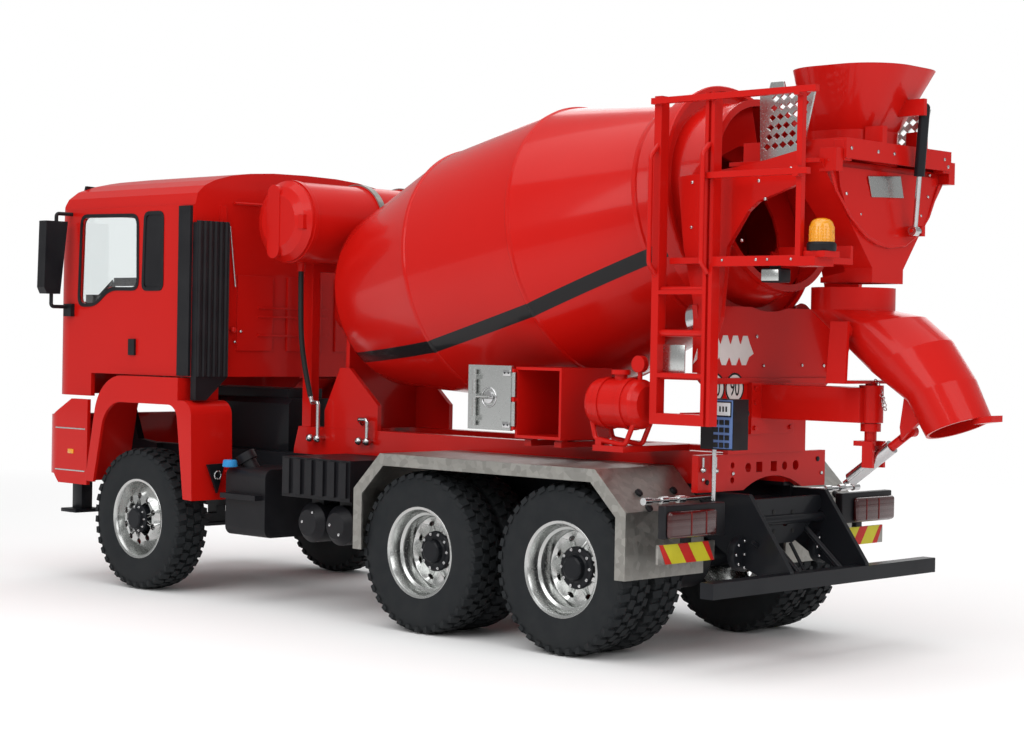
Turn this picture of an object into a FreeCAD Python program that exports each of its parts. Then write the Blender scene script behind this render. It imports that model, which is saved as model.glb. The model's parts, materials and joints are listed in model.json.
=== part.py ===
import FreeCAD, Part
from FreeCAD import Vector
import math
import os

# Concrete mixer truck model, 1/14 scale: one STEP file per named sub-part.
# Axes: +X to the truck's left, +Y to its rear, +Z up. Lengths are measured from
# the front axle while modelling, and shifted at the end so that the origin lies
# under the middle of the whole truck, on the ground.

# ---------------------------------------------------------------- dimensions
origin_y = 219.8            # from the front axle to the middle of the truck
seat_gap = 0.3              # air between bodies that move against each other
running_gap = 0.05          # radial play of a shaft in its bore
sheet = 1.2                 # folded sheet metal
plate = 3.0                 # heavy plate

# running gear
tyre_radius = 43.3
first_rear_axle_y = 250.0
tandem_spacing = 101.0
front_tyre_width = 23.0
rear_tyre_width = 22.0
front_tyre_outer_x = 90.5
rear_tyre_outer_x = 92.0
dual_gap = 2.6
rim_radius = 23.4
rim_lip = 1.2
rim_wall = 1.6
tyre_rim_inset = 1.5
hub_radius = 8.6
spindle_radius = 3.0
tread_depth = 1.5
front_disc_depth = 3.0
rear_disc_depth = 15.0
disc_thickness = 1.8
hand_hole_radius = 2.1
hand_hole_pitch = 15.2
hand_hole_count = 10
kingpin_x = 63.0
kingpin_radius = 2.0
knuckle_ear = 3.4
knuckle_web = 2.2
steering_arm = 17.0

# ladder frame and springs
rail_outer_x = 31.0
rail_bottom_z = 64.0
rail_height = 22.0
rail_flange = 8.0
rail_wall = 2.0
rail_front_y = -72.0
rail_rear_y = 404.0
front_tube_inset = 12.0
cross_tube_radius = 4.0
beam_width = 9.0
beam_height = 8.0
beam_drop = 3.0
housing_radius = 6.5
housing_end_x = 43.5
differential_radius = 16.0
spring_width = 7.0
spring_x = 24.0
spring_leaf = 2.2
front_spring_reach = 40.0

# mixer subframe and drum stands
subframe_front_y = 82.0
subframe_height = 16.5
subframe_width = 8.0
subframe_nose = 4.0

# drum, measured along its own axis from drum_datum
drum_slope = 11.0           # degrees, rising towards the rear
drum_datum_y = 225.0
drum_datum_z = 197.0
drum_wall = 1.6
drum_front = -97.0
drum_nose = -90.0
drum_shoulder = -10.0
drum_belly = 73.0
drum_rear_seam = 146.0
drum_mouth = 190.0
drum_front_radius = 43.0
drum_nose_radius = 52.0
drum_shoulder_radius = 72.0
drum_belly_radius = 75.6
drum_mouth_radius = 48.0
drum_seam_height = 0.8
drum_seam_width = 2.4
ring_at = 165.0
ring_width = 9.0
ring_radius = 62.6
ring_web = 3.0
hub_boss_radius = 12.0
hub_boss_length = 6.0
output_shaft_radius = 5.0
gearbox_radius = 22.0
gearbox_length = 24.0
spiral_height = 20.0
spiral_turns = 1.25
spiral_thickness = 1.6
roller_radius = 9.0
roller_width = 10.0
roller_angle = 33.0
roller_pin_radius = 2.5

# cab
cab_half_width = 88.0
cab_front_y = -98.0
cab_rear_y = 49.0
cab_floor_z = 131.5
cab_skirt_z = 117.0
cab_roof_z = 257.7
cab_wall = 3.0
screen_base_z = 172.0
screen_top_z = 238.0
screen_base_y = -98.0
screen_top_y = -85.5
cab_corner = 21.0
roof_power = 2.5            # 2 is an ellipse, more is squarer
skirt_rear_y = -52.0
cab_pivot_y = -93.5
cab_pivot_z = 119.5
cab_pin_radius = 1.8

cab_lug_x = 36.0
cab_lug_width = 6.0

# engine and boxes on the frame
engine_half_width = 20.0
engine_front_y = -45.0
engine_rear_y = 60.0
engine_bottom_z = 56.0
engine_top_z = 118.0
gearbox_z = 80.0
gearbox_case_length = 52.0
side_box_x = 80.0
side_tank_bottom_z = 39.0
left_tank_front_y = 74.0
left_tank_rear_y = 110.0
left_tank_top_z = 79.0
left_tank_step_z = 61.0
right_tank_front_y = 95.0
right_tank_rear_y = 185.0
right_tank_top_z = 78.0
battery_front_y = 125.0
battery_rear_y = 183.0
battery_bottom_z = 65.0
battery_top_z = 88.0
battery_ribs = 6
air_tank_radius = 11.3
air_tank_length = 40.0
air_tank_pitch = 23.7
air_tank_first_y = battery_front_y + 20.1

# tandem mudguards
fender_inner_x = 35.0
fender_outer_x = 96.0
fender_ahead = 46.4
fender_slope = 20.4
fender_top_z = 95.0
fender_knee_z = 75.0
fender_foot_z = 42.0
fender_flange = 6.5

# bumper and front mudguards
bumper_front_y = -102.0
bumper_half_width = cab_half_width + 4.0
bumper_top_z = 104.0
bumper_side_top_z = 114.9
bumper_slant_y = -67.1
bumper_slant_length = 20.8
bumper_low_cut = 5.5
bumper_bottom_z = 61.0
bumper_rear_y = -49.7
bumper_corner = 20.0
bumper_wall = 2.5
headlamp_low_z = 76.0
headlamp_high_z = 92.0
headlamp_inner_x = 52.0
mudguard_width = 31.0
mudguard_outer_x = bumper_half_width + 1.0
mudguard_inner_x = mudguard_outer_x - mudguard_width
mudguard_top_z = 130.8
mudguard_rear_y = 58.0
mudguard_ledge_y = 43.0
mudguard_ledge_z = 117.3
mudguard_front_foot_z = 64.0
mudguard_rear_foot_z = 58.0
mudguard_lean = 0.2         # the front leg leans back by this share of its height
mudguard_round = 28.0
mudguard_rear_round = 9.0
mudguard_wall = 2.0
mudguard_lip = 8.2

# drum stand
stand_front_y = 105.5
stand_length = 46.5
stand_top_z = 138.7
stand_rear_knee_z = 117.3
stand_apex_y = 118.7
stand_apex_length = 8.3
stand_shoulder_z = 113.0

# tail of the frame
tail_y = 419.0
tail_plate_half_width = 32.0
tail_plate_low_z = 57.0
tail_plate_high_z = 80.0
guard_bar_y = 447.0
guard_bar_z = 42.0
guard_bar_size = 7.6
guard_bar_half_width = 95.6
tail_lamp_inner_x = 50.0
tail_lamp_outer_x = 96.5
tail_lamp_low_z = 64.0
tail_lamp_high_z = 80.0
tail_lamp_depth = 5.5
tail_lamp_face_y = 423.0
lens_inner_x = 59.5
wing_front_y = 396.0
wing_rear_y = 469.0
marker_low_z = 51.5
marker_high_z = 61.0

# rear panel and chute beam
panel_y = 407.0
panel_top_z = 176.0
panel_half_width = 60.0
panel_foot_half_width = 33.0
panel_waist_z = 138.7
panel_waist_half_width = 54.5
panel_low_z = 102.0
panel_notch_radius = 59.0
crossplate_half_width = 54.0
crossplate_y = 405.0
beam_box_half_width = 10.0
beam_box_low_z = 119.9
beam_box_high_z = 137.0
beam_flange_half_width = 18.0
beam_flange_low_z = 112.0
chute_post_y = 472.0
chute_post_radius = 6.0
chute_post_top_z = 138.2
cheek_x = 56.0
tow_foot_z = 43.0
spring_step = 0.28          # each leaf is shorter by this share
hanger_width = 4.0
drive_shaft_radius = 3.2
spiral_front = 80.0
spiral_steps = 22
roller_gap = 0.2
roller_head_radius = 4.0
pocket_tie_y = 160.0
cab_shoulder_x = 86.5
cab_gutter_z = 235.0
roof_facets = 7
screen_margin = 5.0
screen_half_width = 72.0
grille_half_width = 52.0
grille_top_z = 150.0
visor_half_width = 75.0
visor_front_y = -99.0
visor_rear_y = -86.0
visor_low_z = 236.0
visor_high_z = 251.0
duct_inner_x = cab_half_width - 3.0
duct_outer_x = cab_half_width + 2.0
duct_front_y = 37.6
duct_rear_y = 48.8
duct_top_z = 234.0
tower_inner_x = 63.7
tower_rear_y = 54.0
tower_low_z = 131.8
tower_top_z = 224.0
tower_mouth_z = 117.5
brow_y = -85.5
tower_ribs = 6
handle_y = -8.7
handle_z = 148.5
steering_x = 40.0
steering_wheel_radius = 14.0
mirror_x = 94.0
mirror_front_y = -79.0
mirror_low_z = 181.0
mirror_top_z = 227.0
crossplate_low_z = 83.5
crossplate_high_z = panel_low_z
crossplate_thickness = 3.0
crossplate_arch_x = -8.0
crossplate_arch_half = 25.0
crossplate_arch_rise = 6.5
crossplate_hole_z = crossplate_low_z + 11.3
crossplate_round_holes = ((13.2, 2.4), (-17.9, 2.2), (-27.6, 2.6))
crossplate_square_holes = (3.9, -8.5)
crossplate_square_half = 2.6
crossplate_pipe_x = 26.3
crossplate_pipe_hole = 1.6
cheek_thickness = 3.0

# collector and hopper
collector_half_width = 56.0
collector_front_y = 425.0
collector_rear_y = 478.0
collector_top_z = 245.0
collector_neck_z = 195.0
collector_outlet_z = 188.0
outlet_half_width = 13.5
outlet_front_y = 450.0
outlet_rear_y = 480.0
funnel_wall = 1.6
rim_frame = 9.0
hopper_centre_y = 464.0
hopper_throat_y = 457.5
hopper_rim_z = 292.0
hopper_waist_z = 262.0
hopper_flange_high_z = 255.0
hopper_rim_half = 31.5
hopper_rim_corner = 23.5
hopper_waist_half = 20.5
hopper_waist_corner = 15.0
hopper_flange_half = 46.0
hopper_flange_front_y = 426.0
hopper_flange_rear_y = 486.0
hopper_hinge_y = 481.5
hopper_hinge_z = 247.0
hopper_pin_radius = 1.5
hopper_ear_x = 40.0
hopper_ear_width = 6.2
strut_foot = (-13.0, 486.5, 214.0)
strut_head = (-8.0, 494.0, 273.0)
strut_tube_radius = 2.6
strut_rod_radius = 1.3
strut_tube_length = 33.0
strut_rod_length = 34.0
strut_pin_radius = 1.0
screen_x = 50.0
screen_thickness = 1.2
screen_hole = 2.2

# chute and its jack
chute_pivot_y = 470.0
chute_pivot_z = 165.0
chute_pin_radius = 2.0
chute_wall = 1.5
chute_collar_y = 460.3
chute_collar_z = 185.8
chute_radius = 20.6
chute_outlet_half = 18.0
chute_collar_height = 11.0
chute_bends = (((499.0, 172.0), (453.0, 163.0)), ((513.8, 161.0), (476.0, 144.0)), ((526.5, 143.0), (497.0, 130.5)))
chute_outlet = ((535.7, 125.2), (507.3, 113.5))
chute_tab_foot = (532.0, 124.6)
chute_tab_length = 9.6
chute_tab_half_width = 5.0
chute_section_points = 12
chute_arm_x = 24.0
chute_arm_thickness = 2.0
chute_arm_base_z = 139.0
spindle_pin_radius = 3.0
chute_lug_y = 495.0
chute_lug_z = 116.5
lug_x = 0.8                 # inner face of the chute's jack lug
jack_pivot_y = 474.0
jack_pivot_z = 101.0
jack_tube_radius = 3.5
jack_tube_back = 16.0
jack_tube_front = 13.0
jack_rod_radius = 2.2
eye_clearance = 6.5         # the sweep of the lug beside the jack rod
jack_pin_radius = 1.4
crank_radius = 1.1
crank_throw = 13.0
crank_grip = 9.0

# ladder, platform and lamps
ladder_x = 67.0
ladder_width = 6.0
ladder_front_width = 4.4
ladder_rear_width = 5.7
ladder_front_y = 391.8
ladder_rear_y = 429.0
ladder_foot_z = 117.3
ladder_top_z = 277.7
rung_radius = 1.7
rung_low_z = 141.0
rung_pitch = 21.0
platform_z = 195.8
platform_sheet = 3.0
platform_inner_x = 30.0
platform_rear_y = 480.0
rail_top_bar_z = 273.5
rail_middle_bar_z = 236.0
rail_end_y = 489.0
rail_bar = 3.0
beacon_x = 65.0
beacon_y = 486.3
beacon_radius = 5.8
beacon_top_z = 215.7
work_lamp_y = 462.5

# boxes and tanks on the mixer
control_inner_x = 43.2
control_outer_x = 55.2
control_rear_y = 430.0
control_low_z = 105.5
control_high_z = 130.2
toolbox_inner_x = 36.0
toolbox_outer_x = 75.0
toolbox_front_y = 303.5
toolbox_rear_y = 335.5
toolbox_low_z = 106.5
toolbox_high_z = 143.3
toolbox_wall = 1.5
door_hinge_x = 76.5
door_hinge_y = 303.8
door_thickness = 2.0
door_pin_radius = 0.8
door_barrel_radius = 1.3
reservoir_x = 68.0
reservoir_z = 126.5
reservoir_radius = 12.4
reservoir_front_y = 353.0
reservoir_rear_y = 387.0
water_y = 94.0
water_z = 225.0
water_radius = 24.0
water_half_length = 60.0
water_strap_places = (-3.0, -40.0)
water_stand_x = 24.0
water_stand_y = 84.0
hose_radius = 1.6
pipe_radius = 1.2
d_plate_half = 43.0
d_plate_drop = 37.0
d_plate_thickness = 1.4
crank_turn_angle = 1.2
hose_route = ((38.0, 90.0, 196.0), (38.0, 90.0, 168.0), (37.3, 92.4, 142.0), (36.3, 98.5, 121.0))
grab_reach = 5.0
grab_top_z = 248.0
door_width = 31.0

# ------------------------------------------------------------------- helpers
X_AXIS = Vector(1, 0, 0)
Y_AXIS = Vector(0, 1, 0)
Z_AXIS = Vector(0, 0, 1)
ORIGIN = Vector(0, 0, 0)


def box(x0, x1, y0, y1, z0, z1):
    return Part.makeBox(x1 - x0, y1 - y0, z1 - z0, Vector(x0, y0, z0))


def prism(points, direction):
    wire = Part.makePolygon(points + [points[0]])
    return Part.Face(wire).extrude(direction)


def prism_x(outline, x0, x1):
    """Extrudes a (y, z) outline from x0 to x1."""
    return prism([Vector(x0, y, z) for y, z in outline], Vector(x1 - x0, 0, 0))


def prism_y(outline, y0, y1):
    """Extrudes an (x, z) outline from y0 to y1."""
    return prism([Vector(x, y0, z) for x, z in outline], Vector(0, y1 - y0, 0))


def prism_z(outline, z0, z1):
    """Extrudes an (x, y) outline from z0 to z1."""
    return prism([Vector(x, y, z0) for x, y in outline], Vector(0, 0, z1 - z0))


def rod(start, end, radius):
    path = end - start
    return Part.makeCylinder(radius, path.Length, start, path)


def pipe_between(start, end, radius, bore):
    return rod(start, end, radius).cut(rod(start, end, bore))


def rounded_prism(corners, direction):
    """Extrudes a polygon whose corners, given as (point, bend), are rounded."""
    edges = []
    runs = []
    count = len(corners)
    for index in range(count):
        corner, bend = corners[index]
        back = corners[index - 1][0] - corner
        ahead = corners[(index + 1) % count][0] - corner
        back.normalize()
        ahead.normalize()
        half = back.getAngle(ahead) / 2
        if bend < 0.01 or half > math.pi / 2 - 0.01:
            runs.append((corner, corner))
            continue
        reach = bend / math.tan(half)
        first = corner + back * reach
        last = corner + ahead * reach
        middle = (back + ahead).normalize()
        crest = corner + middle * (bend / math.sin(half) - bend)
        edges.append(Part.Arc(first, crest, last).toShape())
        runs.append((first, last))
    for index in range(count):
        start = runs[index - 1][1]
        end = runs[index][0]
        if (end - start).Length > 0.01:
            edges.append(Part.LineSegment(start, end).toShape())
    return Part.Face(Part.Wire(Part.__sortEdges__(edges))).extrude(direction)


def rounded_prism_x(outline, x0, x1):
    """Extrudes a rounded outline of (y, z, bend) from x0 to x1."""
    return rounded_prism([(Vector(x0, y, z), bend) for y, z, bend in outline], Vector(x1 - x0, 0, 0))


def turned(profile, centre, axis):
    """Turns an (along, radius) profile about an axis through centre."""
    side = axis.cross(Z_AXIS)
    if side.Length < 0.1:
        side = X_AXIS
    side = Vector(side).normalize()
    out = side.cross(axis).normalize()
    points = [centre + axis * along + out * radius for along, radius in profile]
    face = Part.Face(Part.makePolygon(points + [points[0]]))
    return face.revolve(centre, axis, 360)


def joined(pieces):
    solid = pieces[0]
    for piece in pieces[1:]:
        solid = solid.fuse(piece)
    return solid.removeSplitter()


def mirrored(shape):
    return shape.mirror(ORIGIN, X_AXIS)


def both_sides(shape):
    return [shape, mirrored(shape)]


def bent_rod(points, radius, bend):
    """A round bar along straight runs with a tangent arc at each corner."""
    edges = []
    start = points[0]
    for here, corner, after in zip(points, points[1:], points[2:]):
        back = (here - corner).normalize()
        ahead = (after - corner).normalize()
        half = back.getAngle(ahead) / 2
        reach = bend / math.tan(half)
        first = corner + back * reach
        last = corner + ahead * reach
        middle = (back + ahead).normalize()
        centre = corner + middle * (bend / math.sin(half))
        edges.append(Part.LineSegment(start, first).toShape())
        edges.append(Part.Arc(first, centre - middle * bend, last).toShape())
        start = last
    edges.append(Part.LineSegment(start, points[-1]).toShape())
    path = Part.Wire(edges)
    heading = (points[1] - points[0]).normalize()
    section = Part.Wire(Part.makeCircle(radius, points[0], heading))
    return path.makePipeShell([section], True, True)


def bolt_ring(centre, axis, pitch_radius, count, bolt_radius, length):
    side = axis.cross(Z_AXIS)
    if side.Length < 0.1:
        side = X_AXIS
    side = Vector(side).normalize()
    up = side.cross(axis).normalize()
    bolts = []
    for index in range(count):
        turn = 2 * math.pi * index / count
        spot = centre + side * (pitch_radius * math.cos(turn)) + up * (pitch_radius * math.sin(turn))
        bolts.append(Part.makeCylinder(bolt_radius, length, spot, axis))
    return bolts


def rounded_rectangle(half_x, half_y, corner, centre):
    """A flat rounded rectangle wire about centre, in the plane z = centre.z."""
    cx, cy, cz = centre
    cut = corner * (1 - math.sqrt(0.5))
    edges = []
    for quarter in range(4):
        turn = math.pi / 2 * quarter
        c, s = round(math.cos(turn)), round(math.sin(turn))
        hx, hy = (half_x, half_y) if quarter % 2 == 0 else (half_y, half_x)

        def spot(u, v):
            return Vector(cx + u * c - v * s, cy + u * s + v * c, cz)
        edges.append(Part.LineSegment(spot(hx, corner - hy), spot(hx, hy - corner)).toShape())
        edges.append(Part.Arc(spot(hx, hy - corner), spot(hx - cut, hy - cut), spot(hx - corner, hy)).toShape())
    return Part.Wire(edges)


nodes = {}


def keep(name, *solids):
    nodes[name] = solids[0] if len(solids) == 1 else Part.makeCompound(list(solids))


# -------------------------------------------------------------- running gear
axle_z = tyre_radius
second_rear_axle_y = first_rear_axle_y + tandem_spacing
tandem_middle_y = first_rear_axle_y + tandem_spacing / 2
rail_top_z = rail_bottom_z + rail_height
rail_inner_x = rail_outer_x - rail_wall


def tyre(width, bead_inset):
    """One tyre about the X axis, its outer wall at x = 0 and its width inwards."""
    half = width / 2
    bead = half - bead_inset
    wall_radius = (rim_radius + tyre_radius) / 2
    points = [Vector(-bead, 0, rim_radius), Vector(-half, 0, wall_radius),
              Vector(-half * 0.93, 0, tyre_radius - 2 * tread_depth)]
    left_wall = Part.Arc(*points).toShape()
    right_wall = Part.Arc(*[Vector(-p.x, 0, p.z) for p in points]).toShape()
    crown = [points[2], Vector(-half * 0.78, 0, tyre_radius), Vector(half * 0.78, 0, tyre_radius),
             Vector(-points[2].x, 0, points[2].z)]
    edges = [left_wall]
    for start, end in zip(crown, crown[1:]):
        edges.append(Part.LineSegment(start, end).toShape())
    edges.append(right_wall)
    edges.append(Part.LineSegment(Vector(bead, 0, rim_radius), Vector(-bead, 0, rim_radius)).toShape())
    outline = Part.Wire(Part.__sortEdges__(edges))
    body = Part.Face(outline).revolve(ORIGIN, X_AXIS, 360)
    groove = turned([(-0.8, tyre_radius - tread_depth), (0.8, tyre_radius - tread_depth),
                     (0.8, tyre_radius + 1), (-0.8, tyre_radius + 1)], ORIGIN, X_AXIS)
    body = body.cut(groove)
    body.translate(Vector(-half, 0, 0))
    return body


def disc_holes(at_x):
    spot = Vector(at_x - 2 * disc_thickness, 0, 0)
    return bolt_ring(spot, X_AXIS, hand_hole_pitch, hand_hole_count, hand_hole_radius, 4 * disc_thickness)


def rim(width, disc_x, hub_inner_x):
    """One rim about the X axis, its outer lip face at x = 0."""
    barrel = turned([(-width, rim_radius - rim_wall), (0, rim_radius - rim_wall),
                     (0, rim_radius + rim_lip), (-rim_lip, rim_radius + rim_lip),
                     (-rim_lip, rim_radius), (-width, rim_radius)], ORIGIN, X_AXIS)
    inner = rim_radius - rim_wall
    disc = turned([(disc_x - disc_thickness, spindle_radius), (disc_x, spindle_radius),
                   (disc_x, inner), (disc_x - disc_thickness, inner)], ORIGIN, X_AXIS)
    hub = Part.makeCylinder(hub_radius, disc_x - hub_inner_x + 2, Vector(hub_inner_x, 0, 0), X_AXIS)
    wheel = joined([barrel, disc, hub])
    for hole in disc_holes(disc_x):
        wheel = wheel.cut(hole)
    bore = Part.makeCylinder(spindle_radius + running_gap, disc_x - hub_inner_x + 1,
                             Vector(hub_inner_x - 1, 0, 0), X_AXIS)
    return wheel.cut(bore)


def place_wheel(shape, outer_x, y, left):
    placed = shape.copy()
    placed.translate(Vector(outer_x, y, axle_z))
    if not left:
        placed.rotate(Vector(0, y, axle_z), Z_AXIS, 180)
    return placed


front_rim_x = front_tyre_outer_x - tyre_rim_inset
rear_rim_x = rear_tyre_outer_x - tyre_rim_inset
knuckle_height = beam_height + 2 * (seat_gap + knuckle_ear)
knuckle_face_x = kingpin_x + beam_width / 2 + seat_gap + knuckle_web
front_hub_inner_x = knuckle_face_x + seat_gap
rear_hub_inner_x = housing_end_x + seat_gap
dual_pitch = rear_tyre_width + dual_gap
front_tyre = tyre(front_tyre_width, tyre_rim_inset + rim_lip)
rear_tyre = tyre(rear_tyre_width, tyre_rim_inset + rim_lip)
front_rim = rim(front_tyre_width - 2 * tyre_rim_inset, -front_disc_depth, front_hub_inner_x - front_rim_x)
rear_rim = rim(dual_pitch + rear_tyre_width - 2 * tyre_rim_inset, -rear_disc_depth, rear_hub_inner_x - rear_rim_x)

wheel_places = {"front": 0.0, "middle": first_rear_axle_y, "rear": second_rear_axle_y}
for place, wheel_y in wheel_places.items():
    for side in ("left", "right"):
        left = side == "left"
        if place == "front":
            wheel = place_wheel(front_rim, front_rim_x, wheel_y, left)
            keep(f"tyre_{place}_{side}", place_wheel(front_tyre, front_tyre_outer_x, wheel_y, left).cut(wheel))
            keep(f"rim_{place}_{side}", wheel)
        else:
            wheel = place_wheel(rear_rim, rear_rim_x, wheel_y, left)
            outer = place_wheel(rear_tyre, rear_tyre_outer_x, wheel_y, left).cut(wheel)
            inner = place_wheel(rear_tyre, rear_tyre_outer_x - dual_pitch, wheel_y, left).cut(wheel)
            keep(f"tyres_{place}_{side}", outer, inner)
            keep(f"rim_{place}_{side}", wheel)


def make_axles():
    """The front beam and the two driven axle housings."""
    low = axle_z - beam_height / 2
    high = axle_z + beam_height / 2
    drop = beam_drop
    outline = [(-kingpin_x, low), (-kingpin_x + 14, low), (-kingpin_x + 24, low - drop),
               (kingpin_x - 24, low - drop), (kingpin_x - 14, low), (kingpin_x, low),
               (kingpin_x, high), (kingpin_x - 14, high), (kingpin_x - 24, high - drop),
               (-kingpin_x + 24, high - drop), (-kingpin_x + 14, high), (-kingpin_x, high)]
    beam = prism_y(outline, -beam_width / 2, beam_width / 2)
    web_cut = prism_y([(-kingpin_x + 26, low - drop + 2), (kingpin_x - 26, low - drop + 2),
                       (kingpin_x - 26, high - drop - 2), (-kingpin_x + 26, high - drop - 2)],
                      beam_width / 2 - 3, beam_width)
    beam = beam.cut(web_cut)
    for x in (-kingpin_x, kingpin_x):
        beam = beam.fuse(Part.makeCylinder(beam_width / 2, beam_height, Vector(x, 0, low), Z_AXIS))
    for x in (-kingpin_x, kingpin_x):
        beam = beam.cut(Part.makeCylinder(kingpin_radius + running_gap, 3 * beam_height,
                                          Vector(x, 0, low - beam_height), Z_AXIS))
    housings = []
    for y in (first_rear_axle_y, second_rear_axle_y):
        centre = Vector(0, y, axle_z)
        spindle_end = rear_rim_x - rear_disc_depth - 1
        housing = turned([(-spindle_end, 0), (spindle_end, 0), (spindle_end, spindle_radius),
                          (housing_end_x, spindle_radius), (housing_end_x, housing_radius),
                          (differential_radius + 8, housing_radius), (10, differential_radius),
                          (-10, differential_radius), (-differential_radius - 8, housing_radius),
                          (-housing_end_x, housing_radius), (-housing_end_x, spindle_radius),
                          (-spindle_end, spindle_radius)], centre, X_AXIS)
        nose = Part.makeCone(9, 6, 12, centre - Vector(0, differential_radius - 4, 0), Vector(0, -1, 0))
        housings.append(joined([housing, nose]))
    keep("axle_housings", beam, *housings)


make_axles()


def make_knuckle():
    """Left steering knuckle: two ears round the beam end, kingpin, spindle and arm."""
    low = axle_z - knuckle_height / 2
    high = axle_z + knuckle_height / 2
    half = beam_width / 2
    lower = box(kingpin_x - half, knuckle_face_x, -half, half, low, low + knuckle_ear)
    upper = box(kingpin_x - half, knuckle_face_x, -half, half, high - knuckle_ear, high)
    back = box(knuckle_face_x - knuckle_web, knuckle_face_x, -half, half, low, high)
    pin = Part.makeCylinder(kingpin_radius, knuckle_height, Vector(kingpin_x, 0, low), Z_AXIS)
    spindle_end = front_rim_x - front_disc_depth - seat_gap
    spindle = Part.makeCylinder(spindle_radius, spindle_end - knuckle_face_x,
                                Vector(knuckle_face_x, 0, axle_z), X_AXIS)
    arm = prism_z([(kingpin_x - half, 0), (kingpin_x + half, 0), (kingpin_x - 1, steering_arm),
                   (kingpin_x - half - 1, steering_arm)], low, low + knuckle_ear)
    ball = Part.makeCylinder(kingpin_radius, knuckle_ear + 2, Vector(kingpin_x - half + 1, steering_arm - 2, low),
                             Z_AXIS)
    return joined([lower, upper, back, pin, spindle, arm, ball])


knuckle_left = make_knuckle()
keep("knuckle_left", knuckle_left)
keep("knuckle_right", mirrored(knuckle_left))

# ------------------------------------------------------------- ladder frame
cross_tube_places = (rail_front_y + front_tube_inset, engine_rear_y + gearbox_case_length + 12, tandem_middle_y - 90,
                     tandem_middle_y, rail_rear_y - 9)


def make_frame():
    """Two channel rails, tubular cross members and the cab tilt brackets."""
    flange_x = rail_outer_x - rail_flange
    channel = [(rail_outer_x, rail_bottom_z), (rail_outer_x, rail_top_z), (flange_x, rail_top_z),
               (flange_x, rail_top_z - rail_wall), (rail_inner_x, rail_top_z - rail_wall),
               (rail_inner_x, rail_bottom_z + rail_wall), (flange_x, rail_bottom_z + rail_wall),
               (flange_x, rail_bottom_z)]
    pieces = both_sides(prism_y(channel, rail_front_y, rail_rear_y))
    middle_z = rail_bottom_z + rail_height / 2
    for y in cross_tube_places:
        pieces.append(rod(Vector(-rail_inner_x, y, middle_z), Vector(rail_inner_x, y, middle_z), cross_tube_radius))
    arm = [(rail_front_y + 20, rail_bottom_z + 2), (rail_front_y + 20, rail_top_z), (rail_front_y, rail_top_z + 2),
           (cab_pivot_y + 6, cab_pivot_z + 3.5), (cab_pivot_y, cab_pivot_z + 3.5), (cab_pivot_y, cab_pivot_z),
           (cab_pivot_y + 2.2, cab_pivot_z - 4.5), (rail_front_y - 4, rail_bottom_z + 2)]
    arm_x = cab_lug_x - seat_gap
    bracket = prism_x(arm, rail_outer_x, arm_x)
    pin = rod(Vector(rail_outer_x + 1, cab_pivot_y, cab_pivot_z),
              Vector(cab_lug_x + cab_lug_width + 1, cab_pivot_y, cab_pivot_z), cab_pin_radius)
    pieces += both_sides(joined([bracket, pin]))
    keep("chassis_frame", joined(pieces))


def leaf_pack(centre_y, reach, end_z, middle_z, leaves):
    """Stacked leaves: each next one is shorter and lies on the hollow side."""
    way = -1 if middle_z < end_z else 1
    strips = []
    for leaf in range(leaves):
        share = 1 - spring_step * leaf
        drop = way * spring_leaf * leaf
        ends = end_z + (middle_z - end_z) * (1 - share * share) + drop
        span = reach * share
        low = [Vector(spring_x, centre_y - span, ends), Vector(spring_x, centre_y, middle_z + drop),
               Vector(spring_x, centre_y + span, ends)]
        up = Vector(0, 0, spring_leaf)
        edges = [Part.Arc(*low).toShape(), Part.LineSegment(low[2], low[2] + up).toShape(),
                 Part.Arc(low[2] + up, low[1] + up, low[0] + up).toShape(),
                 Part.LineSegment(low[0] + up, low[0]).toShape()]
        strips.append(Part.Face(Part.Wire(edges)).extrude(Vector(spring_width, 0, 0)))
    return strips


def make_springs():
    """Leaf packs: the front pair curve down, the tandem pair sit over their pivots."""
    x0 = spring_x
    x1 = spring_x + spring_width
    eye_z = rail_bottom_z - 2 * spring_leaf
    seat_z = axle_z + beam_height / 2 - beam_drop
    middle_z = seat_z + 3 * spring_leaf
    front = leaf_pack(0, front_spring_reach, eye_z, middle_z, 2)
    for y in (-front_spring_reach, front_spring_reach - hanger_width):
        front.append(box(x0, x1, y, y + hanger_width, eye_z, rail_bottom_z))
    front.append(box(x0, x1, -beam_width / 2, beam_width / 2, seat_z, middle_z))
    front_pack = joined(front)
    pivot_z = rail_bottom_z - 3 * spring_leaf
    tandem = leaf_pack(tandem_middle_y, tandem_spacing / 2 + hanger_width, axle_z + housing_radius, pivot_z, 2)
    tandem.append(box(x0, x1, tandem_middle_y - 2 * hanger_width, tandem_middle_y + 2 * hanger_width,
                      pivot_z, rail_bottom_z))
    for y in (first_rear_axle_y, second_rear_axle_y):
        tandem.append(box(x0, x1, y - hanger_width, y + hanger_width, axle_z, axle_z + housing_radius + spring_leaf))
    tandem_pack = joined(tandem).cut(nodes["axle_housings"])
    keep("leaf_springs", front_pack, mirrored(front_pack), *(tandem_pack.Solids + mirrored(tandem_pack).Solids))


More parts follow.
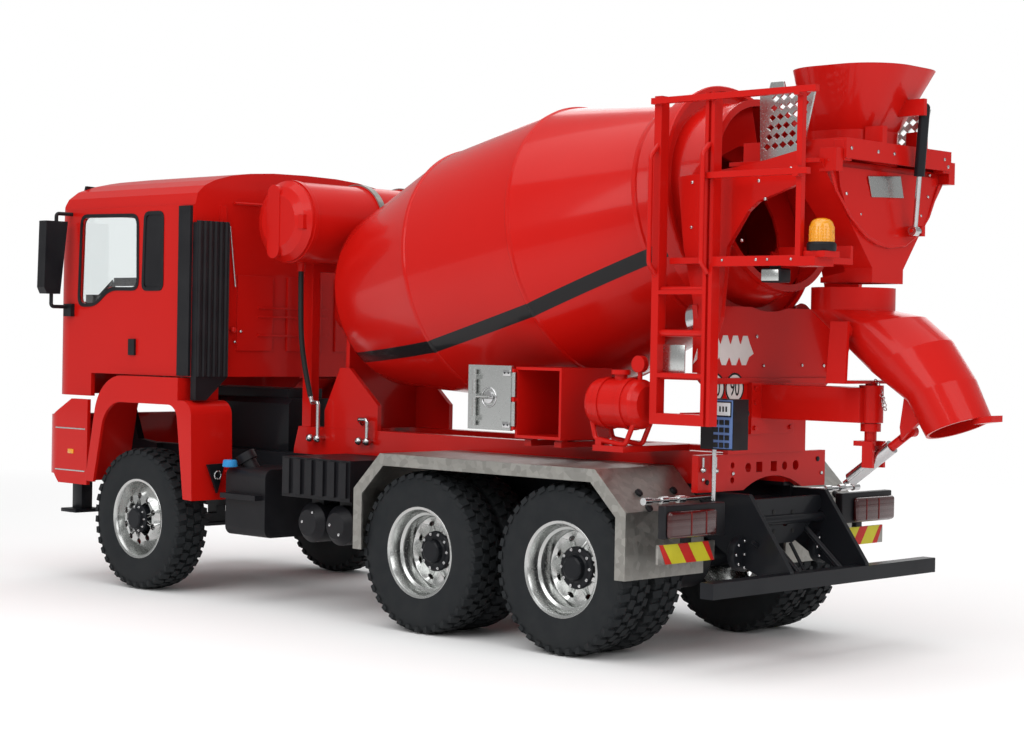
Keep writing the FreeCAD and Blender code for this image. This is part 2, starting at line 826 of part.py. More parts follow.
def make_engine():
    """Engine block with rocker cover, bell housing, gearbox and output flange."""
    half = engine_half_width
    block = box(-half, half, engine_front_y, engine_rear_y, engine_bottom_z, engine_top_z)
    block = block.makeChamfer(3, [edge for edge in block.Edges if edge.BoundBox.YLength > half])
    pieces = [block, box(6 - half, half - 6, engine_front_y + 8, engine_rear_y - 8, engine_top_z, engine_top_z + 6)]
    run = engine_rear_y
    for radius, length in ((17, 12), (12, gearbox_case_length - 16), (7, 4)):
        pieces.append(rod(Vector(0, run, gearbox_z), Vector(0, run + length, gearbox_z), radius))
        run += length
    for y in (engine_front_y + 14, engine_rear_y - 12):
        pieces.append(box(-rail_inner_x, rail_inner_x, y, y + 6, gearbox_z - 6, gearbox_z))
    engine = joined(pieces)
    first = Vector(0, run, gearbox_z)
    second = Vector(0, first_rear_axle_y - differential_radius - 8, axle_z)
    shaft = rod(first, second, drive_shaft_radius).cut(engine)
    shaft = shaft.cut(nodes["axle_housings"]).cut(nodes["chassis_frame"])
    link = rod(Vector(0, first_rear_axle_y + differential_radius - 1, axle_z),
               Vector(0, second_rear_axle_y - differential_radius - 8, axle_z), drive_shaft_radius)
    link = link.cut(nodes["axle_housings"])
    keep("engine_gearbox", engine, *(shaft.Solids + link.Solids))


def round_edges(shape, radius, least, test):
    """Rounds the long edges running along Y that pass the test."""
    picked = [edge for edge in shape.Edges if edge.BoundBox.YLength > least and test(edge.BoundBox)]
    return shape.makeFillet(radius, picked)


def make_side_tanks():
    """Left tank with a step plate and blue filler, right fuel tank with straps."""
    left = box(rail_outer_x, side_box_x, left_tank_front_y, left_tank_rear_y, side_tank_bottom_z, left_tank_top_z)
    left = round_edges(left, 5, 20, lambda extent: extent.XMin > rail_outer_x + 1)
    step = box(side_box_x - 1, side_box_x + 6, left_tank_front_y + 2, left_tank_rear_y - 2,
               left_tank_step_z, left_tank_step_z + plate)
    slant = Vector(0.3, -0.5, 1).normalize()
    foot = Vector(side_box_x - 12, left_tank_front_y + 9, left_tank_top_z)
    neck = rod(foot - slant * 4, foot + slant * 4, 4.5)
    cap = rod(foot + slant * 4, foot + slant * 9, 6)
    left_solid = joined([left, step, neck])
    right = box(-side_box_x, -rail_outer_x, right_tank_front_y, right_tank_rear_y, side_tank_bottom_z,
                right_tank_top_z)
    right = round_edges(right, 9, 20, lambda extent: extent.XMax < -rail_outer_x - 1)
    pieces = [right]
    for y in (right_tank_front_y + 14, right_tank_rear_y - 18):
        strap = box(-side_box_x - 1, -rail_outer_x, y, y + 5, side_tank_bottom_z - 1, right_tank_top_z + 1)
        pieces.append(round_edges(strap, 10, 4, lambda extent: extent.XMax < -rail_outer_x - 1))
    filler_y = right_tank_front_y + 8
    pieces.append(rod(Vector(16 - side_box_x, filler_y, right_tank_top_z - 1),
                      Vector(16 - side_box_x, filler_y, right_tank_top_z + 5), 5))
    keep("side_tanks", left_solid, cap.cut(left_solid), joined(pieces))


def make_battery_and_air():
    """Ribbed battery box over two air tanks, on the left rail."""
    battery = [box(rail_outer_x, side_box_x, battery_front_y, battery_rear_y, battery_bottom_z, battery_top_z)]
    rib_pitch = (battery_rear_y - battery_front_y) / battery_ribs
    for index in range(battery_ribs):
        y = battery_front_y + rib_pitch * (index + 0.2)
        battery.append(box(side_box_x - 1, side_box_x + 1.6, y, y + rib_pitch * 0.6,
                           battery_bottom_z + 2, battery_top_z - 1))
    z = battery_bottom_z - air_tank_radius - 3
    start_x = side_box_x - 2 - air_tank_length
    for y in (air_tank_first_y, air_tank_first_y + air_tank_pitch):
        battery.append(turned([(0, 0), (0, air_tank_radius - 3), (3, air_tank_radius),
                               (air_tank_length - 4, air_tank_radius), (air_tank_length, air_tank_radius - 4),
                               (air_tank_length, 0)], Vector(start_x, y, z), X_AXIS))
        for x in (start_x + 8, start_x + air_tank_length - 12):
            battery.append(box(x, x + 4, y - 5, y + 5, z, battery_bottom_z))
    keep("battery_and_air_tanks", joined(battery))


def fender_outline(grow):
    """The folded run of the tandem mudguard, from the front foot to the rear foot."""
    ahead = first_rear_axle_y - fender_ahead - grow
    behind = second_rear_axle_y + fender_ahead + grow
    knee_z = fender_knee_z + grow * 0.4
    turn = fender_slope + grow * 0.6
    top_z = fender_top_z + grow
    return [(ahead, fender_foot_z), (ahead, knee_z), (ahead + turn, top_z), (behind - turn, top_z),
            (behind, knee_z), (behind, fender_foot_z)]


def make_fenders():
    outer = fender_outline(0)
    skin = prism_x(outer + fender_outline(-sheet)[::-1], fender_inner_x, fender_outer_x)
    flange = prism_x(outer + fender_outline(-fender_flange)[::-1], fender_outer_x - sheet, fender_outer_x)
    pieces = [skin, flange]
    stay_z = fender_top_z - 4
    for y in (first_rear_axle_y - 6, second_rear_axle_y - 6):
        pieces.append(box(rail_outer_x, fender_inner_x + 22, y, y + 12, stay_z, fender_top_z - sheet))
    left = joined(pieces)
    keep("fenders", left, mirrored(left))


make_frame()
make_springs()
make_engine()
make_side_tanks()
make_battery_and_air()
make_fenders()


# ------------------------------------------------- bumper and front mudguards
def plan_shell(half_width, front_y, rear_y, corner, z0, z1):
    """A solid with rounded front corners seen from above, square at the rear."""
    cut = corner * (1 - math.sqrt(0.5))
    right_start = Vector(-half_width, front_y + corner, z0)
    right_end = Vector(-half_width + corner, front_y, z0)
    left_start = Vector(half_width - corner, front_y, z0)
    left_end = Vector(half_width, front_y + corner, z0)
    edges = [Part.Arc(right_start, Vector(-half_width + cut, front_y + cut, z0), right_end).toShape(),
             Part.LineSegment(right_end, left_start).toShape(),
             Part.Arc(left_start, Vector(half_width - cut, front_y + cut, z0), left_end).toShape(),
             Part.LineSegment(left_end, Vector(half_width, rear_y, z0)).toShape(),
             Part.LineSegment(Vector(half_width, rear_y, z0), Vector(-half_width, rear_y, z0)).toShape(),
             Part.LineSegment(Vector(-half_width, rear_y, z0), right_start).toShape()]
    return Part.Face(Part.Wire(edges)).extrude(Vector(0, 0, z1 - z0))


def make_bumper():
    """Wrap-round bumper with headlamps, frame brackets and the towing foot."""
    wall = bumper_wall
    outer = plan_shell(bumper_half_width, bumper_front_y, bumper_rear_y, bumper_corner, bumper_bottom_z,
                       bumper_side_top_z)
    hollow = plan_shell(bumper_half_width - wall, bumper_front_y + wall, bumper_rear_y + 1, bumper_corner - wall,
                        bumper_bottom_z - 1, bumper_side_top_z + 1)
    slant_y = bumper_slant_y - bumper_slant_length
    profile = [(bumper_front_y, bumper_bottom_z + bumper_low_cut), (slant_y + 2, bumper_bottom_z + bumper_low_cut),
               (slant_y + 2 + bumper_low_cut, bumper_bottom_z), (bumper_rear_y, bumper_bottom_z),
               (bumper_rear_y, bumper_side_top_z), (bumper_slant_y, bumper_side_top_z), (slant_y, bumper_top_z),
               (bumper_front_y, bumper_top_z)]
    outer = outer.common(prism_x(profile, -bumper_half_width, bumper_half_width))
    shell = outer.cut(hollow)
    lip = plan_shell(bumper_half_width - 1, bumper_front_y + 1, cab_pivot_y - 1, bumper_corner - 1,
                     bumper_top_z - wall, bumper_top_z)
    grille = box(-40, 40, bumper_front_y - 1, bumper_front_y + wall / 2, bumper_bottom_z + 14, bumper_bottom_z + 30)
    shell = joined([shell, lip]).cut(grille)
    lamp_outer = bumper_half_width - bumper_corner + 6
    pocket = box(headlamp_inner_x, lamp_outer, bumper_front_y - 1, bumper_front_y + 12, headlamp_low_z, headlamp_high_z)
    lamps = []
    for hole in both_sides(pocket):
        lamps.append(hole.common(outer))
        shell = shell.cut(hole)
    pieces = [shell]
    for bracket in both_sides(box(rail_outer_x - rail_flange, rail_outer_x, bumper_front_y + wall, rail_front_y,
                                  rail_bottom_z + 4, rail_top_z - 2)):
        pieces.append(bracket)
    lamp_back = bumper_front_y + 12
    for shelf in both_sides(box(rail_outer_x - 1, bumper_half_width - 2.5, lamp_back, lamp_back + 3, headlamp_low_z - 3,
                                headlamp_high_z + 2)):
        pieces.append(shelf)
    for foot in both_sides(box(66, 74, bumper_front_y + 12, bumper_front_y + 22, tow_foot_z, headlamp_low_z)):
        pieces.append(foot)
    for ledge in both_sides(box(60, 80, bumper_front_y + 8, bumper_front_y + 24, tow_foot_z - 2, tow_foot_z)):
        pieces.append(ledge)
    body = joined(pieces).cut(nodes["chassis_frame"])
    keep("front_bumper", body, *[lamp.cut(body) for lamp in lamps])


def arch_profile(inset, drop):
    """Side outline of the front mudguard, moved in by inset and lengthened by drop."""
    front = bumper_rear_y + inset
    rear = mudguard_rear_y - inset
    top = mudguard_top_z - inset
    ledge = mudguard_ledge_z - inset
    lean = mudguard_lean * (mudguard_top_z - mudguard_front_foot_z)
    return [(front - drop * mudguard_lean, mudguard_front_foot_z - drop, 0), (front + lean, top, mudguard_round - inset),
            (mudguard_ledge_y - inset, top, 0), (mudguard_ledge_y - inset, ledge, 0),
            (rear - 2, ledge, mudguard_rear_round - inset), (rear, mudguard_rear_foot_z - drop, 0)]


def make_front_mudguards():
    """Rounded arches over the front wheels with an outer face, tied to the rails."""
    outer = rounded_prism_x(arch_profile(0, 0), mudguard_inner_x, mudguard_outer_x)
    hollow = rounded_prism_x(arch_profile(mudguard_wall, 2), mudguard_inner_x - 1, mudguard_outer_x - mudguard_wall)
    lip = mudguard_lip
    front = bumper_rear_y + lip
    lean = mudguard_lean * (mudguard_top_z - lip - mudguard_front_foot_z)
    opening = [(front, mudguard_front_foot_z - 1, 0), (front + lean, mudguard_top_z - 2 * lip, mudguard_round - lip),
               (mudguard_rear_y - 2 * lip, mudguard_top_z - 2 * lip, mudguard_rear_round),
               (mudguard_rear_y - lip, mudguard_rear_foot_z - 1, 0), (0, mudguard_rear_foot_z - 2, 0)]
    wheel_cut = rounded_prism_x(opening, mudguard_inner_x - 1, mudguard_outer_x + 1)
    arch = outer.cut(hollow).cut(wheel_cut)
    tie_x = mudguard_inner_x + 6
    rear_y = mudguard_rear_y - 1.5
    front_y = bumper_rear_y + 2
    rear_tie = rod(Vector(rail_outer_x, rear_y, 74), Vector(tie_x, rear_y, 74), 1.8)
    front_tie = rod(Vector(rail_outer_x, front_y, 70), Vector(tie_x, front_y, 70), 1.8)
    left = joined([arch, rear_tie, front_tie]).cut(nodes["chassis_frame"])
    keep("front_mudguards", left, mirrored(left))


make_bumper()
make_front_mudguards()

# --------------------------------------------------------- subframe and drum
slope = math.radians(drum_slope)
drum_axis = Vector(0, math.cos(slope), math.sin(slope))
drum_up = Vector(0, -math.sin(slope), math.cos(slope))
drum_centre = Vector(0, drum_datum_y, drum_datum_z)
subframe_top_z = rail_top_z + subframe_height
shell_line = [(drum_front, drum_front_radius), (drum_nose, drum_nose_radius), (drum_shoulder, drum_shoulder_radius),
              (drum_belly, drum_belly_radius), (drum_mouth, drum_mouth_radius)]


def on_drum(along, up=0.0, across=0.0):
    return drum_centre + drum_axis * along + drum_up * up + X_AXIS * across


def shell_radius(along):
    """Outer radius of the drum shell at a place along its axis."""
    for (start, first), (end, last) in zip(shell_line, shell_line[1:]):
        if start <= along <= end:
            return first + (last - first) * (along - start) / (end - start)
    return shell_line[-1][1]


def make_subframe():
    """Two box beams with slanted noses and their cross ties."""
    inner_x = rail_outer_x - subframe_width
    outline = [(subframe_front_y - subframe_nose, rail_top_z), (subframe_front_y - subframe_nose, rail_top_z + 3),
               (subframe_front_y, subframe_top_z), (rail_rear_y, subframe_top_z), (rail_rear_y, rail_top_z)]
    pieces = both_sides(prism_x(outline, inner_x, rail_outer_x))
    for y in (subframe_front_y + 36, pocket_tie_y, tandem_middle_y, rail_rear_y - 20):
        pieces.append(box(-inner_x, inner_x, y, y + 8, rail_top_z + 1, subframe_top_z - 3))
    keep("subframe", joined(pieces))


def make_drum():
    """Welded shell with seam bands, roller ring and front hub."""
    skin = [(along, radius - drum_wall) for along, radius in shell_line[1:]]
    skin.append((drum_front + drum_wall, drum_front_radius - drum_wall))
    skin.sort(key=lambda place: -place[0])
    shell = turned(shell_line + skin + [(drum_front + drum_wall, 0), (drum_front, 0)], drum_centre, drum_axis)
    pieces = [shell]
    for seam in (drum_shoulder, drum_belly, drum_rear_seam):
        base = shell_radius(seam) - drum_wall / 2
        crest = shell_radius(seam) + drum_seam_height
        half = drum_seam_width / 2
        slant = shell_radius(seam + half) - shell_radius(seam)
        pieces.append(turned([(seam - half, base), (seam - half, crest - slant / 2), (seam + half, crest + slant),
                              (seam + half, base + slant)], drum_centre, drum_axis))
    foot = shell_radius(ring_at) - drum_wall / 2
    half = ring_width / 2
    rim_foot = ring_radius - ring_web
    pieces.append(turned([(ring_at - ring_web / 2, foot), (ring_at - ring_web / 2, rim_foot),
                          (ring_at - half, rim_foot), (ring_at - half, ring_radius),
                          (ring_at + half, ring_radius), (ring_at + half, rim_foot),
                          (ring_at + ring_web / 2, rim_foot), (ring_at + ring_web / 2, foot)],
                         drum_centre, drum_axis))
    pieces.append(turned([(drum_mouth - 3, drum_mouth_radius - drum_wall), (drum_mouth - 3, drum_mouth_radius + 2),
                          (drum_mouth, drum_mouth_radius + 2), (drum_mouth, drum_mouth_radius - drum_wall)],
                         drum_centre, drum_axis))
    pieces.append(Part.makeCylinder(hub_boss_radius, hub_boss_length + drum_wall / 2,
                                    on_drum(drum_front - hub_boss_length), drum_axis))
    bore = Part.makeCylinder(output_shaft_radius + running_gap, hub_boss_length + 3 * drum_wall,
                             on_drum(drum_front - hub_boss_length - drum_wall), drum_axis)
    keep("drum", joined(pieces).cut(bore))


def make_blades():
    """Two mixing spirals half a turn apart, welded to the rear cone."""
    end = drum_mouth - 8
    blades = []
    for hand in (0, math.pi):
        sections = []
        for index in range(spiral_steps + 1):
            along = spiral_front + (end - spiral_front) * index / spiral_steps
            turn = 2 * math.pi * spiral_turns * index / spiral_steps + hand
            out = X_AXIS * math.cos(turn) + drum_up * math.sin(turn)
            foot = shell_radius(along + spiral_thickness) - drum_wall
            tip = foot - spiral_height
            corners = [on_drum(along) + out * tip, on_drum(along + spiral_thickness) + out * tip,
                       on_drum(along + spiral_thickness) + out * foot, on_drum(along) + out * foot]
            sections.append(Part.makePolygon(corners + [corners[0]]))
        blades.append(Part.makeLoft(sections, True, True))
    keep("drum_blades", *blades)


gearbox_face = drum_front - hub_boss_length - seat_gap


def make_gearbox():
    """Drum drive: gearbox on the axis, hydraulic motor and output shaft."""
    step = gearbox_radius - 5
    case = turned([(0, 0), (0, gearbox_radius), (-4, gearbox_radius), (-5, step), (-gearbox_length, step - 3),
                   (-gearbox_length, 0)], on_drum(gearbox_face), drum_axis)
    motor = rod(on_drum(gearbox_face - gearbox_length + 1), on_drum(gearbox_face - gearbox_length - 12), 9)
    shaft = rod(on_drum(gearbox_face - 1), on_drum(drum_front + drum_wall), output_shaft_radius)
    keep("drum_gearbox", joined([case, motor, shaft]))


def make_front_stand():
    """Gusseted side plates and the yoke plate that carries the drum gearbox."""
    rear = stand_front_y + stand_length
    outline = [(stand_front_y, subframe_top_z), (rear, subframe_top_z), (rear, stand_rear_knee_z),
               (stand_apex_y + stand_apex_length, stand_top_z), (stand_apex_y, stand_top_z),
               (stand_front_y, stand_shoulder_z)]
    inner = rail_outer_x - plate
    pieces = both_sides(prism_x(outline, inner, rail_outer_x))
    seat = on_drum(gearbox_face - 2)
    yoke_y = seat.y - plate / 2
    yoke = prism_y([(-inner, subframe_top_z), (inner, subframe_top_z), (inner, stand_shoulder_z),
                    (gearbox_radius + 5, seat.z + 4), (-gearbox_radius - 5, seat.z + 4), (-inner, stand_shoulder_z)],
                   yoke_y, yoke_y + plate)
    pieces.append(yoke)
    pieces.append(box(-inner, inner, stand_front_y + 4, stand_front_y + 10, subframe_top_z, subframe_top_z + 10))
    stand = joined(pieces)
    bore = Part.makeCylinder(gearbox_radius - 1, 3 * gearbox_length, on_drum(gearbox_face - 2 * gearbox_length), drum_axis)
    keep("drum_stand_front", stand.cut(bore).cut(nodes["drum_gearbox"]))


def roller_centre(side):
    reach = ring_radius + roller_gap + roller_radius
    angle = math.radians(roller_angle) * side
    return on_drum(ring_at, -reach * math.cos(angle), reach * math.sin(angle))


def make_rollers():
    for side, name in ((1, "roller_left"), (-1, "roller_right")):
        start = roller_centre(side) - drum_axis * (roller_width / 2)
        end = roller_centre(side) + drum_axis * (roller_width / 2)
        keep(name, pipe_between(start, end, roller_radius, roller_pin_radius + running_gap))


make_subframe()
make_drum()
make_blades()
make_gearbox()
make_front_stand()
make_rollers()

# ------------------------------------------------------------------------ cab
def cab_side_outline(inset):
    """Side profile of the cab as (y, z), moved in by inset all round."""
    front = cab_front_y + inset
    rear = cab_rear_y - inset
    base_z = screen_base_z + inset * 0.3
    floor = cab_floor_z + inset
    skirt = cab_skirt_z if inset == 0 else floor
    brow = brow_y + inset * 0.6
    points = [(front, skirt), (front, base_z), (brow, screen_top_z), (brow + 5, cab_roof_z - 10.5 - inset),
              (brow + 16, cab_roof_z - 5 - inset), (brow + 35, cab_roof_z - 1.7 - inset),
              (brow_y + 85, cab_roof_z - inset), (rear, cab_roof_z - inset), (rear, floor)]
    if inset == 0:
        points += [(skirt_rear_y, floor), (skirt_rear_y, skirt)]
    return points


def cab_front_outline(inset):
    """Front view of the cab as (x, z): upright sides and a rounded roof edge."""
    half = cab_half_width - inset
    top = cab_roof_z - inset
    low = cab_skirt_z - 1
    power = 2 / roof_power
    shoulder = cab_shoulder_x - inset
    edge = [(half, low), (half, cab_gutter_z)]
    for index in range(roof_facets):
        turn = math.pi / 2 * index / roof_facets
        edge.append((shoulder * math.cos(turn) ** power,
                     cab_gutter_z + (top - cab_gutter_z) * math.sin(turn) ** power))
    edge.append((0, top))
    return edge + [(-x, z) for x, z in reversed(edge[:-1])]


def cab_volume(inset):
    side = prism_x(cab_side_outline(inset), -cab_half_width - 1, cab_half_width + 1)
    plan = plan_shell(cab_half_width - inset, cab_front_y + inset, cab_rear_y - inset, cab_corner - inset,
                      cab_skirt_z - 1, cab_roof_z + 1)
    front = prism_y(cab_front_outline(inset), cab_front_y - 1, cab_rear_y + 1)
    return side.common(plan).common(front)


side_window = [(-63.2, 229.5, 5), (-6.5, 228.5, 5), (-5.6, 185.4, 4), (-34.3, 185.6, 6), (-49.5, 175.4, 6),
               (-65.3, 175.3, 4)]
quarter_window = [(3.1, 229.5, 4), (18.6, 229.5, 4), (18.9, 185.3, 4), (1.6, 185.3, 4)]


def screen_strip(outer, inner, half_x):
    """The slanted windscreen between two depths behind the cab's front plane."""
    lean = (screen_top_y - screen_base_y) / (screen_top_z - screen_base_z)
    low_z = screen_base_z + screen_margin
    high_z = screen_top_z - screen_margin
    low_y = screen_base_y + lean * screen_margin
    high_y = screen_top_y - lean * screen_margin
    return prism_x([(low_y + outer, low_z), (high_y + outer, high_z), (high_y + inner, high_z),
                    (low_y + inner, low_z)], -half_x, half_x)


def make_cab():
    """Cab shell with window openings, grille, tilt lugs and rear wall relief."""
    shell = cab_volume(0).cut(cab_volume(cab_wall))
    skirt_void = plan_shell(cab_half_width - cab_wall, cab_front_y + cab_wall, skirt_rear_y + 1,
                            cab_corner - cab_wall, cab_skirt_z - 1, cab_floor_z)
    shell = shell.cut(skirt_void)
    for outline in (side_window, quarter_window):
        shell = shell.cut(rounded_prism_x(outline, -cab_half_width - 1, cab_half_width + 1))
    shell = shell.cut(screen_strip(-12, 12, screen_half_width))
    pieces = [shell]
    pieces.append(box(-grille_half_width, grille_half_width, cab_front_y - 3, cab_front_y + 1,
                      cab_skirt_z + 2, grille_top_z))
    for lug in both_sides(box(cab_lug_x, cab_lug_x + cab_lug_width, cab_front_y + 1, cab_pivot_y + 4.5,
                              cab_pivot_z - 3, cab_floor_z + 1)):
        pieces.append(lug)
    for x in (-40, 0, 40):
        pieces.append(box(x - 14, x + 14, cab_rear_y - 1, cab_rear_y + 1.2, cab_floor_z + 16, cab_floor_z + 62))
    for side in both_sides(box(cab_half_width - 24, cab_half_width - 20, cab_rear_y - 1, cab_rear_y + 2,
                               cab_floor_z + 4, cab_gutter_z)):
        pieces.append(side)
    cab = joined(pieces)
    pin_bore = rod(Vector(rail_outer_x, cab_pivot_y, cab_pivot_z),
                   Vector(cab_lug_x + cab_lug_width + 1 + seat_gap, cab_pivot_y, cab_pivot_z),
                   cab_pin_radius + running_gap)
    for bore in both_sides(pin_bore):
        cab = cab.cut(bore)
    keep("cab_shell", cab)


def make_glazing():
    """Side, quarter and front panes filling their openings."""
    outer_x = cab_half_width - 1.2
    panes = []
    for outline in (side_window, quarter_window):
        panes += both_sides(rounded_prism_x(outline, outer_x - sheet, outer_x))
    volume = cab_volume(0.8)
    panes.append(screen_strip(0.8, 2.0, screen_half_width).common(volume))
    keep("cab_glazing", *panes)


def make_cab_trim():
    """Black parts on the cab: sun visor, side ducts, intake tower, handles."""
    parts = []
    arc = [Vector(-visor_half_width, visor_rear_y, visor_low_z), Vector(0, visor_front_y, visor_low_z),
           Vector(visor_half_width, visor_rear_y, visor_low_z)]
    shift_in = Vector(0, 2, 0)
    edges = [Part.Arc(*arc).toShape(), Part.LineSegment(arc[2], arc[2] + shift_in).toShape(),
             Part.Arc(*[point + shift_in for point in reversed(arc)]).toShape(),
             Part.LineSegment(arc[0] + shift_in, arc[0]).toShape()]
    blade = Part.Face(Part.Wire(edges)).extrude(Vector(0, 6, visor_high_z - visor_low_z))
    stays = [box(x, x + 5, visor_front_y + 1.5, screen_top_y + 30, visor_high_z - 5, visor_high_z - 2)
             for x in (-45, 40)]
    parts += joined([blade] + stays).cut(cab_volume(0)).Solids
    for side in (1, -1):
        duct = box(duct_inner_x, duct_outer_x, duct_front_y, duct_rear_y, cab_floor_z + 0.5, duct_top_z)
        tower = box(tower_inner_x, cab_half_width, cab_rear_y, tower_rear_y, tower_low_z, tower_top_z)
        flute = (cab_half_width - tower_inner_x) / tower_ribs
        ribs = []
        for step in range(tower_ribs):
            x = tower_inner_x + flute * (step + 0.5)
            ribs.append(rod(Vector(x, tower_rear_y - 1, tower_low_z), Vector(x, tower_rear_y - 1, tower_top_z + 1),
                            flute / 2 - 0.1))
        mouth = prism_y([(cab_half_width, tower_low_z), (tower_inner_x, tower_low_z),
                         (cab_half_width - 8, tower_mouth_z), (cab_half_width, tower_mouth_z)],
                        cab_rear_y, tower_rear_y)
        tower = joined([tower, mouth] + ribs)
        if side < 0:
            duct = mirrored(duct)
            tower = mirrored(tower)
        parts += duct.cut(nodes["cab_shell"]).Solids
        if side > 0:
            parts += tower.cut(nodes["cab_shell"]).Solids
        handle = box(cab_half_width, cab_half_width + 1.6, handle_y - 3, handle_y + 3, handle_z - 5, handle_z + 5)
        parts.append(handle if side > 0 else mirrored(handle))
    keep("cab_trim", *parts)


def make_cab_interior():
    """Dashboard, steering wheel, two seats and the bunk, standing on the cab floor."""
    floor = cab_floor_z + cab_wall
    inner = cab_half_width - cab_wall
    dash = prism_x([(cab_front_y + cab_wall + 1, floor), (cab_front_y + cab_wall + 1, floor + 34),
                    (cab_front_y + 22, floor + 38), (cab_front_y + 30, floor + 26), (cab_front_y + 24, floor)],
                   -inner + 12, inner - 12)
    hub = Vector(steering_x, cab_front_y + 34, floor + 38)
    lean = Vector(0, 0.8, 0.6)
    wheel = Part.makeTorus(steering_wheel_radius, 1.8, hub, lean)
    column = rod(hub - lean * 16, hub + lean * 0.5, 2.2)
    across = X_AXIS
    spoke = rod(hub - across * (steering_wheel_radius - 0.5), hub + across * (steering_wheel_radius - 0.5), 1.5)
    front = joined([dash, column, wheel, spoke])
    seats = []
    for x in (-steering_x, steering_x):
        cushion = box(x - 19, x + 19, -40, 0, floor, floor + 18)
        back = prism_x([(-4, floor + 10), (4, floor + 72), (12, floor + 72), (8, floor + 8)], x - 18, x + 18)
        rest = box(x - 9, x + 9, 4, 10, floor + 70, floor + 84)
        seats.append(joined([cushion, back, rest]))
    bunk = box(-inner + 8, inner - 8, 22, cab_rear_y - cab_wall, floor, floor + 24)
    keep("cab_interior", front.cut(nodes["cab_shell"]), bunk, *seats)


def make_mirrors():
    """Door mirrors: tall heads with a small lower glass on two thin arms."""
    head = prism_y([(mirror_x, mirror_top_z), (mirror_x + 16, mirror_top_z), (mirror_x + 17, mirror_low_z + 4),
                    (mirror_x + 15, mirror_low_z), (mirror_x + 5, mirror_low_z)], mirror_front_y, mirror_front_y + 8)
    middle_y = mirror_front_y + 4
    upper = bent_rod([Vector(cab_half_width - 1, middle_y, mirror_top_z + 5),
                      Vector(mirror_x + 6, middle_y, mirror_top_z + 5),
                      Vector(mirror_x + 6, middle_y, mirror_top_z - 2)], 1.2, 2)
    lower = bent_rod([Vector(cab_half_width - 1, middle_y, mirror_low_z - 8),
                      Vector(mirror_x + 9, middle_y, mirror_low_z - 8),
                      Vector(mirror_x + 9, middle_y, mirror_low_z + 2)], 1.2, 2)
    foot = box(cab_half_width - 1, cab_half_width + 3, mirror_front_y, mirror_front_y + 8,
               mirror_low_z - 14, mirror_low_z - 6)
    left = joined([head, upper, lower, foot]).cut(nodes["cab_shell"])
    keep("mirrors", left, mirrored(left))


make_cab()
make_glazing()
make_cab_trim()
make_cab_interior()
make_mirrors()

# -------------------------------------------------------------- rear structure
def make_crossplate():
    """Pierced and arched plate across the end of the subframe."""
    y0 = rail_rear_y
    y1 = crossplate_y + crossplate_thickness
    half = crossplate_half_width
    low = crossplate_low_z
    plate_solid = box(-half, half, y0, y1, low, crossplate_high_z)
    left_foot = Vector(crossplate_arch_x + crossplate_arch_half, y0 - 1, low)
    right_foot = Vector(crossplate_arch_x - crossplate_arch_half, y0 - 1, low)
    crown = Vector(crossplate_arch_x, y0 - 1, low + crossplate_arch_rise)
    arch = Part.Arc(right_foot, crown, left_foot)
    chord = Part.LineSegment(left_foot, right_foot)
    arch_face = Part.Face(Part.Wire([arch.toShape(), chord.toShape()]))
    plate_solid = plate_solid.cut(arch_face.extrude(Vector(0, y1 - y0 + 2, 0)))
    row_z = crossplate_hole_z
    for x, radius in crossplate_round_holes:
        plate_solid = plate_solid.cut(rod(Vector(x, y0 - 1, row_z), Vector(x, y1 + 1, row_z), radius))
    reach = crossplate_square_half
    for x in crossplate_square_holes:
        plate_solid = plate_solid.cut(box(x - reach, x + reach, y0 - 1, y1 + 1, row_z - reach, row_z + reach))
    for z in (row_z + 1.5, row_z - 6):
        hole = rod(Vector(crossplate_pipe_x, y0 - 1, z), Vector(crossplate_pipe_x, y1 + 1, z), crossplate_pipe_hole)
        plate_solid = plate_solid.cut(hole)
    keep("rear_crossplate", plate_solid)


def make_rear_panel():
    """Upright panel with roller pins and the two struts that hold the collector."""
    y1 = panel_y + plate
    outline = [(panel_half_width, panel_top_z), (panel_waist_half_width, panel_waist_z),
               (panel_foot_half_width, panel_waist_z - 15), (panel_foot_half_width, panel_low_z)]
    outline += [(-x, z) for x, z in reversed(outline)]
    panel = prism_y(outline, panel_y, y1)
    notch_z = panel_top_z - 2 + panel_notch_radius
    panel = panel.cut(rod(Vector(0, panel_y - 1, notch_z), Vector(0, y1 + 1, notch_z), panel_notch_radius))
    pieces = [panel, box(-panel_waist_half_width, panel_waist_half_width, y1 - 1, y1 + 1, panel_waist_z - 1.5,
                         panel_waist_z + 1.5)]
    beyond = box(-panel_half_width, panel_half_width, y1, y1 + 40, 0, 2 * panel_top_z)
    for side in (1, -1):
        spot = roller_centre(side)
        half = roller_width / 2
        pin = rod(spot - drum_axis * (half + seat_gap + 1), spot + drum_axis * 13, roller_pin_radius)
        head = rod(spot - drum_axis * (half + seat_gap + 2), spot - drum_axis * (half + seat_gap), roller_head_radius)
        collar = rod(spot + drum_axis * (half + seat_gap), spot + drum_axis * 12, roller_head_radius)
        pieces.append(joined([pin, head, collar]).cut(beyond))
    top = collector_top_z
    cheek = [(panel_y, panel_waist_z + 4), (panel_y, panel_top_z), (wing_front_y + 4, panel_top_z + 29),
             (wing_front_y, top - 6), (wing_front_y + 23, top - 4), (wing_rear_y - 25, top - 1), (wing_rear_y, top + 4),
             (wing_rear_y + 1, top - 11.4), (wing_rear_y - 24, top - 19.5), (wing_rear_y - 30, top - 24),
             (wing_rear_y - 42, top - 41), (y1 + 14, panel_top_z - 6), (y1 + 4, panel_waist_z + 4)]
    for wing in both_sides(prism_x(cheek, cheek_x, cheek_x + cheek_thickness)):
        pieces.append(wing)
    keep("rear_panel", joined(pieces))


